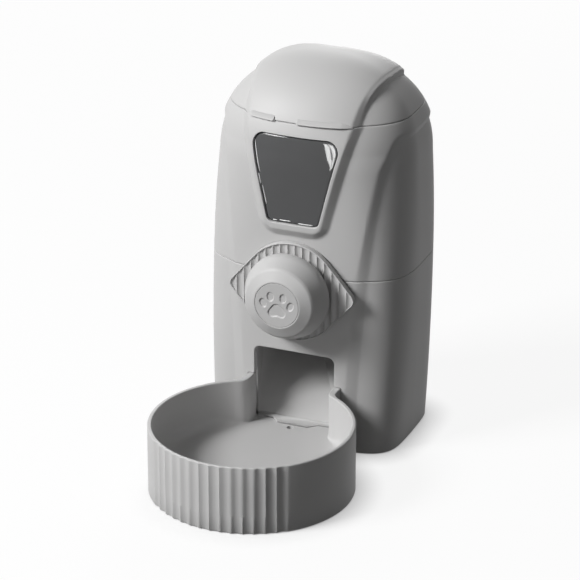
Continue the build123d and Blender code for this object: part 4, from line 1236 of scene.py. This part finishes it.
@dataclass
class Bowl:
    """Round bowl with scalloped flutes at the front and a neck that goes into the outlet."""

    radius: float = 65.0
    centre_y: float = -102.0
    rim_z: float = 44.6
    floor_z: float = 14.0
    floor_thick: float = 2.4
    wall: float = 2.7
    cove: float = 8.0
    neck_cove: float = 1.2
    neck_outer: float = 32.1
    neck_inner: float = 27.6
    neck_end: float = -31.8
    rim_round: float = 0.9
    flutes: int = 14
    pitch_deg: float = 6.2
    flute_radius: float = 7.0
    flute_depth: float = 0.9
    drain_radius: float = 2.2
    drain_y: float = -41.0
    neck_count: int = 14
    neck_ease: int = 3
    cove_run: float = 22.0
    floor_count: int = 24
    arc_count: int = 300

    def scallop(self, off_front: Array) -> Array:
        """Depth of the flutes at an angle off the front: arcs of a round cutter side by side."""
        pitch = math.radians(self.pitch_deg)
        half = self.flutes * pitch / 2
        offset = (np.mod(off_front + half, pitch) - pitch / 2) * self.radius
        arc = np.sqrt(np.maximum(self.flute_radius**2 - offset**2, 0))
        arc = np.maximum(arc - (self.flute_radius - self.flute_depth), 0)
        return np.where(np.abs(off_front) < half, arc, 0.0)

    def keyhole(self) -> tuple[Array, Array, Array]:
        """Outer and inner plan lines of the wall from the right neck end round to the left one.

        Returns:
            Outer points, inner points and the cove's radius at each.
        """
        side = []
        for neck, reach in ((self.neck_outer, self.radius), (self.neck_inner, self.radius - self.wall)):
            corner = math.asin(neck / reach)
            joint = self.centre_y + reach * math.cos(corner)
            run = np.linspace(self.neck_end, joint, self.neck_count + 1)[:-1]
            straight = np.stack([np.full(self.neck_count, neck), run], axis=1)
            turn = corner + (np.pi - corner) * np.linspace(0, 1, self.arc_count // 2 + 1)
            depth = self.scallop(np.pi - turn) if neck == self.neck_outer else 0.0
            away = reach - depth
            arc = np.stack([away * np.sin(turn), self.centre_y + away * np.cos(turn)], axis=1)
            right = eased(np.concatenate([straight, arc]), self.neck_count, self.neck_ease)
            side.append(np.concatenate([right, (right * [-1, 1])[-2::-1]]))
        outer, inner = side
        along = np.arange(len(outer)) - self.neck_count
        along = np.minimum(along, along[::-1])
        ramp = np.clip(along / self.cove_run, 0, 1)
        cove = self.neck_cove + (self.cove - self.neck_cove) * ramp * ramp * (3 - 2 * ramp)
        return outer, inner, cove

    def build(self, finishes: Finishes) -> None:
        """Make the bowl and dress it."""
        draft = MeshDraft()
        outer, inner, cove = self.keyhole()
        under = self.floor_z - self.floor_thick
        way = np.zeros_like(inner)
        way[:, 1] = self.centre_y
        on_neck = (np.abs(np.arange(len(inner)) - len(inner) // 2) > self.arc_count // 2)[:, None]
        way = unit(np.where(on_neck, inner * [0, 1], way) - inner)
        for _ in range(2):
            way = eased(way, self.neck_count, self.neck_ease)[::-1]
        quarter = np.linspace(0, np.pi / 2, 6)
        lines: list[tuple[Array, Array | float]] = [(outer, under), (outer, 0.5 * (under + self.rim_z))]
        for turn in quarter:
            inset = self.rim_round * (1 - math.cos(turn))
            lines.append((outer + way * inset, self.rim_z - self.rim_round * (1 - math.sin(turn))))
        for turn in quarter[::-1]:
            inset = self.rim_round * (1 - math.cos(turn))
            lines.append((inner - way * inset, self.rim_z - self.rim_round * (1 - math.sin(turn))))
        for turn in np.linspace(0, np.pi / 2, 10):
            inset = cove[:, None] * (1 - math.cos(turn))
            lines.append((inner + way * inset, self.floor_z + cove * (1 - math.sin(turn))))
        rows = np.stack([at_height(line, z) for line, z in lines])
        draft.grid(rows)
        edge = rows[-1]
        lower = edge.copy()
        lower[:, 2] = under
        draft.strip(lower, rows[0])
        ends = np.concatenate([rows, lower[None]])
        draft.cap(ends[:, 0])
        draft.cap(ends[:, -1])
        self.floor(draft, edge, under)
        self.skirt(draft, under)
        finishes.dress(draft.build("fluted_bowl"), Slot.GREY, Body.DISH, "bowl")

    def floor(self, draft: MeshDraft, edge: Array, under: float) -> None:
        """Fill the floor: rows straight across, and loops round the drain hole in the neck.

        Args:
            draft: Mesh in the making.
            edge: Line where the cove ends, from the right neck end to the left.
            under: Height of the underside.
        """
        half = len(edge) // 2
        right = edge[: half + 1, :2]
        cut = self.neck_count + 6
        share = np.linspace(-1, 1, self.floor_count + 1)
        level = np.ones_like(share)
        main = right[cut:, None, :] * np.stack([share, level], axis=1)[None]
        neck = right[: cut + 1]
        across = np.stack([share * neck[-1, 0], level * neck[-1, 1]], axis=1)
        head = np.stack([-share * neck[0, 0], level * neck[0, 1]], axis=1)
        loop = np.concatenate([across[:-1], neck[:0:-1], head[:-1], (neck * [-1, 1])[:-1]])
        counts = (self.floor_count, cut, self.floor_count, cut)
        hole = circle_loop(self.drain_y, self.drain_radius, counts)
        shares = np.linspace(0, 1, 7)[:, None, None]
        plate = hole[None] * (1 - shares) + loop[None] * shares
        for z in (self.floor_z, under):
            draft.grid(at_height(main, z))
            draft.rings(at_height(plate, z))
        draft.strip(at_height(hole, self.floor_z), at_height(hole, under), closed=True)
        draft.strip(at_height(head, self.floor_z), at_height(head, under))

    def skirt(self, draft: MeshDraft, under: float) -> None:
        """Add the ring that the bowl stands on, below its floor, with the same flutes."""
        turn = np.linspace(-np.pi, np.pi, 2 * self.arc_count, endpoint=False)
        reach = self.radius - self.scallop(turn)
        inner = np.full_like(reach, self.radius - self.wall)
        top = under - 0.012
        lines = [(reach, top), (reach, 0.6), (reach - 0.18, 0.18), (reach - 0.6, 0.0)]
        lines += [(inner + 0.6, 0.0), (inner + 0.18, 0.18), (inner, 0.6), (inner, top)]
        round_y = np.stack([np.sin(turn), -np.cos(turn)], axis=1)
        rows = [at_height(r[:, None] * round_y + [0, self.centre_y], z) for r, z in lines]
        draft.grid(np.stack(rows), close_rows=True, close_cols=True)


@dataclass
class Clamp:
    """Clamp on the front: fluted plate, turned knob and the cap with a paw print.

    The depth t of each piece is measured forward from the front of the body.
    """

    axis_z: float = 107.9
    plate_back: float = 0.4
    plate_face: float = 4.4
    plate_radius: float = 33.2
    tip_radius: float = 6.0
    tip_x: float = 36.1
    flute_pitch: float = 5.0
    flutes: int = 17
    flute_radius: float = 3.4
    flute_depth: float = 1.1
    flute_columns: int = 14
    plate_rim: float = 0.9
    plate_edge: float = 0.45
    plate_insets: tuple = (0, 0.05, 0.18, 0.45, 0.85, 0.95, 1.25, 1.6, 3, 6, 10, 15, 20, 26, 34)
    knob_profile: tuple = (
        (0.0, 5.6),
        (25.4, 5.6),
        (27.6, 8.0),
        (28.1, 9.6),
        (28.1, 12.4),
        (27.6, 14.5),
        (23.4, 23.6),
        (22.3, 24.7),
        (15.6, 27.8),
        (14.85, 27.8),
        (14.85, 25.4),
        (0.0, 25.4),
    )
    cap_radius: float = 14.72
    cap_back: float = 25.45
    cap_face: float = 27.7
    knob_soft: float = 0.9
    paw_depth: float = 0.7
    paw_toes: tuple = ((4.3, 5.2, 0.12), (9.2, 0.4, 0.42))
    paw_lobes: tuple = ((0.0, -2.4, 3.5), (-3.3, -5.4, 2.7), (3.3, -5.4, 2.7))
    paw_blend: float = 1.4

    def place(self, x: Array, up: Array, t: Array) -> Array:
        """Points at x and up from the axis, t in front of the body."""
        return np.stack(np.broadcast_arrays(x, FORM.front_y - t, self.axis_z + up), axis=-1)

    @property
    def lean(self) -> float:
        """Angle at which the plate's straight shoulders touch its circles."""
        return math.acos((self.plate_radius - self.tip_radius) / self.tip_x)

    def eye_half(self, x: Array) -> Array:
        """Half height of the plate: a big circle, straight shoulders and two small tip circles."""
        lean = self.lean
        x1, y1 = self.plate_radius * math.cos(lean), self.plate_radius * math.sin(lean)
        x2, y2 = self.tip_x + self.tip_radius * math.cos(lean), self.tip_radius * math.sin(lean)
        x = np.abs(x)
        big = np.sqrt(np.maximum(self.plate_radius**2 - x**2, 0))
        line = y1 + (y2 - y1) * (x - x1) / (x2 - x1)
        tip = np.sqrt(np.maximum(self.tip_radius**2 - (x - self.tip_x) ** 2, 0))
        return np.where(x < x1, big, np.where(x < x2, line, tip))

    def plate(self, finishes: Finishes) -> None:
        """Make the fluted plate: rows run in from the outline, columns follow the flutes."""
        bend = self.tip_x + self.tip_radius * math.cos(self.lean)
        reach = 8 * self.flute_columns
        flat = np.arange(-reach, reach + 1) * (self.flute_pitch / self.flute_columns)
        flat = flat[np.abs(flat) < bend - 0.1]
        tip = self.tip_x + self.tip_radius * np.cos(np.linspace(self.lean, 0, 12))
        x = np.concatenate([-tip[::-1], flat, tip])[None, :]
        half = self.eye_half(x)
        half[:, [0, -1]] = 0.0
        steps = np.array(self.plate_insets)[:, None]
        share = np.linspace(0, 1, len(steps))[:, None]
        inset = np.minimum(steps, half * share)
        up = half - inset
        pitch = self.flute_pitch
        offset = np.mod(x + pitch / 2, pitch) - pitch / 2
        arc = np.sqrt(self.flute_radius**2 - offset**2) - (self.flute_radius - self.flute_depth)
        within = np.abs(x) < pitch * self.flutes / 2
        cut = np.where(within, np.maximum(arc, 0), 0) * np.clip((inset - self.plate_rim) / 0.3, 0, 1)
        t = self.plate_face - cut - edge_drop(inset, self.plate_edge)
        rounded = self.plate_back + edge_drop(inset[:4], self.plate_edge)
        top, low = self.place(x, up, t), self.place(x, -up, t)
        face = np.concatenate([low, top[-2::-1]])
        back_top = self.place(x, up[:4], rounded)
        back_low = self.place(x, -up[:4], rounded)
        back = np.concatenate([back_top, back_low[::-1]])
        draft = MeshDraft()
        draft.grid(np.concatenate([face, back]), close_rows=True)
        plate = draft.build("fluted_clamp_plate", 50.0)
        finishes.dress(plate, Slot.GREY, Body.CLAMP, "clamp_plate")

    def turned(self, profile: Array, columns: int = 180) -> Array:
        """Profile of (radius, t) pairs turned about the clamp's axis."""
        turn = full_turn(columns)[None, :]
        radius, t = profile[:, :1], profile[:, 1:]
        return self.place(radius * np.cos(turn), radius * np.sin(turn), t)

    def knob(self, finishes: Finishes) -> None:
        """Make the knob: its profile is smoothed by a running mean, so that each bend is a curve."""
        count = 900
        line = resample(np.array(self.knob_profile), count)
        length = np.sum(np.linalg.norm(np.diff(line, axis=0), axis=1))
        width = max(3, int(self.knob_soft / (length / count)) | 1)
        pad = np.pad(line, ((width // 2, width // 2), (0, 0)), mode="edge")
        mean = np.ones(width) / width
        soft = np.stack([np.convolve(column, mean, "valid") for column in pad.T], axis=1)
        coarse, fine = np.arange(0, count, 40), np.arange(300, 760, 4)
        keep = soft[np.unique(np.concatenate([coarse, fine, [count - 1]]))]
        keep[[0, -1], 0] = 0.0
        draft = MeshDraft()
        draft.grid(self.turned(keep), close_cols=True)
        finishes.dress(draft.build("turned_knob"), Slot.GREY, Body.KNOB, "knob_body")

    def paw(self, x: Array, up: Array) -> Array:
        """Distance to the paw print, below 0 inside: four oval toes and a three-lobed pad."""
        toes = []
        for side in (-1.0, 1.0):
            for cx, cy, tilt in self.paw_toes:
                dx, dy = x - side * cx, up - cy
                along = dy * math.cos(tilt) + side * dx * math.sin(tilt)
                across = side * dx * math.cos(tilt) - dy * math.sin(tilt)
                toes.append((np.hypot(across / 2.1, along / 2.9) - 1) * 2.3)
        lobes = [np.hypot(x - cx, up - cy) - radius for cx, cy, radius in self.paw_lobes]
        soft = self.paw_blend
        pad = -soft * np.log(sum(np.exp(-lobe / soft) for lobe in lobes)) + 0.35
        return np.minimum(np.minimum.reduce(toes), pad)

    def cap(self, finishes: Finishes) -> None:
        """Make the cap: a disc whose face drops by the paw's depth inside the print."""
        edge = self.cap_radius - np.array([0.2, 0.08, 0.02, 0])
        r = np.concatenate([np.linspace(0, self.cap_radius - 0.5, 84), edge])[:, None]
        turn = full_turn(300)[None, :]
        x, up = r * np.cos(turn), r * np.sin(turn)
        depth = self.paw_depth * soft_clip(0.5 - self.paw(x, up) / 0.55, 0.1)
        depth[-4:] = 0.0
        t = self.cap_face - depth - edge_drop(self.cap_radius - r, 0.2)
        draft = MeshDraft()
        face = self.place(x, up, t)
        back = self.place(x[[-1, 0]], up[[-1, 0]], np.full((2, 1), self.cap_back))
        draft.grid(np.concatenate([face, back]), close_cols=True)
        finishes.dress(draft.build("paw_print_cap", 60.0), Slot.GREY, Body.KNOB, "knob_cap")


@dataclass(frozen=True)
class CarriedPart:
    """A CAD node whose shape is right: its mesh is copied, welded and shaded smooth."""

    node: str
    slot: Slot
    body: Body
    sharp_deg: float = 30.0

    def build(self, finishes: Finishes) -> None:
        """Copy the node's mesh, weld it and dress it."""
        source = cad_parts[self.node]
        mesh = source.data.copy()
        mesh.transform(source.matrix_world)
        work = bmesh.new()
        work.from_mesh(mesh)
        bmesh.ops.remove_doubles(work, verts=work.verts, dist=1e-6)
        work.to_mesh(mesh)
        work.free()
        mesh.name = self.node + "_dressed"
        obj = shaded(mesh.name, mesh, self.sharp_deg)
        finishes.dress(obj, self.slot, self.body, self.node)


CARRIED = (
    CarriedPart("lid_seal", Slot.RUBBER, Body.LID),
    CarriedPart("hinge_pins", Slot.STEEL, Body.HOUSING),
    CarriedPart("hopper_funnel", Slot.INNER, Body.HOUSING),
    CarriedPart("chute_ramp", Slot.INNER, Body.HOUSING),
    CarriedPart("base_cover", Slot.GREY, Body.HOUSING),
    CarriedPart("base_screws", Slot.STEEL, Body.HOUSING),
    CarriedPart("seam_screws", Slot.STEEL, Body.HOUSING),
    CarriedPart("clamp_stud", Slot.STEEL, Body.HOUSING),
    CarriedPart("stud_nut", Slot.STEEL, Body.HOUSING),
    CarriedPart("stud_washer", Slot.STEEL, Body.HOUSING),
    CarriedPart("knob_insert", Slot.BRASS, Body.KNOB),
    CarriedPart("knob_washer", Slot.NYLON, Body.KNOB),
)


# The studio

def aim(place: tuple, target: tuple) -> Euler:
    """Turn of a lamp or camera at a place that looks at a target."""
    return (Vector(target) - Vector(place)).to_track_quat("-Z", "Y").to_euler()


@dataclass(frozen=True)
class Lamp:
    """A soft square lamp that looks at a point of the feeder."""

    name: str
    place: tuple
    size: float
    power: float
    target: tuple = (0.0, -0.03, 0.12)

    def build(self) -> None:
        """Add the lamp."""
        data = bpy.data.lights.new(self.name, "AREA")
        data.shape = "SQUARE"
        data.size = self.size
        data.energy = self.power
        obj = new_object(self.name, data)
        obj.location = self.place
        obj.rotation_euler = aim(self.place, self.target)


@dataclass(frozen=True)
class Card:
    """A bright strip in front of the feeder that shows only as a reflection in the pane."""

    name: str
    place: tuple
    width: float
    height: float
    power: float
    lean: float = -0.19

    def build(self) -> None:
        """Add the strip, turned to face the feeder."""
        data = bpy.data.lights.new(self.name, "AREA")
        data.shape = "RECTANGLE"
        data.size, data.size_y = self.width, self.height
        data.energy = self.power
        obj = new_object(self.name, data)
        obj.location = self.place
        obj.rotation_euler = (math.pi / 2, self.lean, 0.0)
        obj.visible_camera = False
        obj.visible_diffuse = False
        obj.visible_transmission = False


@dataclass(frozen=True)
class Studio:
    """Camera, lamps, white floor and world."""

    camera_place: tuple = (0.67793, -1.63495, 0.84616)
    camera_target: tuple = (0.00495, -0.0527, 0.11544)
    lens: float = 185.3
    ambient: float = 0.12
    floor_half: float = 4.0
    floor_z: float = -0.0004
    floor_glow: float = 0.9
    floor_level: float = 1.0
    floor_seen: float = 0.85
    floor_bounce: float = 0.05
    floor_contact: float = 0.02
    lamps: tuple = (
        Lamp("key_lamp", (-1.4, -1.42, 1.55), 0.8, 72.0),
        Lamp("rear_lamp", (-0.4, 1.8, 0.8), 0.8, 13.0),
    )
    cards: tuple = (
        Card("near_card", (0.041, -1.0, 0.225), 0.065, 0.46, 1.7),
        Card("far_card", (0.166, -1.0, 0.249), 0.15, 0.46, 4.0),
    )

    def build(self) -> None:
        """Set up the studio."""
        bpy.context.scene.view_settings.view_transform = "Standard"
        data = bpy.data.cameras.new("camera")
        data.sensor_width = 36.0
        data.lens = self.lens
        camera = new_object("camera", data)
        camera.location = self.camera_place
        camera.rotation_euler = aim(self.camera_place, self.camera_target)
        bpy.context.scene.camera = camera
        for lamp in self.lamps + self.cards:
            lamp.build()
        self.world()
        self.floor()

    def seen(self, graph: Graph) -> Signal:
        """1 for rays that show the background: from the camera, in gloss and through clear pieces."""
        path = graph.node("ShaderNodeLightPath")
        rays = ("Is Camera Ray", "Is Glossy Ray", "Is Transmission Ray")
        camera, glossy, through = (Signal(graph, path.outputs[ray]) for ray in rays)
        return camera.math("MAXIMUM", glossy).math("MAXIMUM", through)

    def world(self) -> None:
        """White where it is seen, and a plain dim level where it lights."""
        world = bpy.data.worlds.new("studio")
        world.use_nodes = True
        bpy.context.scene.world = world
        graph = Graph(world.node_tree)
        level = self.seen(graph) * (1 - self.ambient) + self.ambient
        back = graph.shader("ShaderNodeBackground", Color=rgba(1, 1, 1), Strength=level)
        graph.node("ShaderNodeOutputWorld", Surface=back)

    def floor(self) -> None:
        """White floor that keeps a soft shadow."""
        mesh = bpy.data.meshes.new("floor")
        corners = np.array([[-1, -1], [1, -1], [1, 1], [-1, 1]]) * self.floor_half
        mesh.from_pydata(at_height(corners, self.floor_z).tolist(), [], [[0, 1, 2, 3]])
        obj = new_object("floor", mesh)
        made, graph = new_material("white_floor")
        seen, bounce = rgba(*[self.floor_seen] * 3), rgba(*[self.floor_bounce] * 3)
        matt = graph.shader("ShaderNodeBsdfDiffuse", Color=seen)
        glow = graph.shader("ShaderNodeEmission", Color=rgba(1, 1, 1), Strength=self.floor_level)
        sky = graph.node("ShaderNodeAmbientOcclusion", Distance=self.floor_contact).outputs["AO"]
        share = Signal(graph, sky) * self.floor_glow
        white = graph.shader("ShaderNodeMixShader", i0=share, i1=matt, i2=glow)
        dim = graph.shader("ShaderNodeBsdfDiffuse", Color=bounce)
        graph.surface(graph.shader("ShaderNodeMixShader", i0=self.seen(graph), i1=dim, i2=white))
        mesh.materials.append(made)


def write_sizes() -> None:
    """Update the view layer so that the placements of all pieces are current."""
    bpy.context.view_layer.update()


def main() -> None:
    """Build the studio and every piece in order."""
    logging.basicConfig(level=logging.INFO, format="%(name)s %(message)s")
    Studio().build()
    finishes = Finishes()
    UpperShell().build(finishes)
    LowerShell().build(finishes)
    Lid().build(finishes)
    pane = WindowPane()
    pane.build(finishes)
    # Pale beads that paint highlights on the pane's edge.
    pane.highlight_beads(finishes)
    Bowl().build(finishes)
    clamp = Clamp()
    clamp.plate(finishes)
    clamp.knob(finishes)
    clamp.cap(finishes)
    for part in CARRIED:
        part.build(finishes)
    write_sizes()


if __name__ == "__main__":
    main()
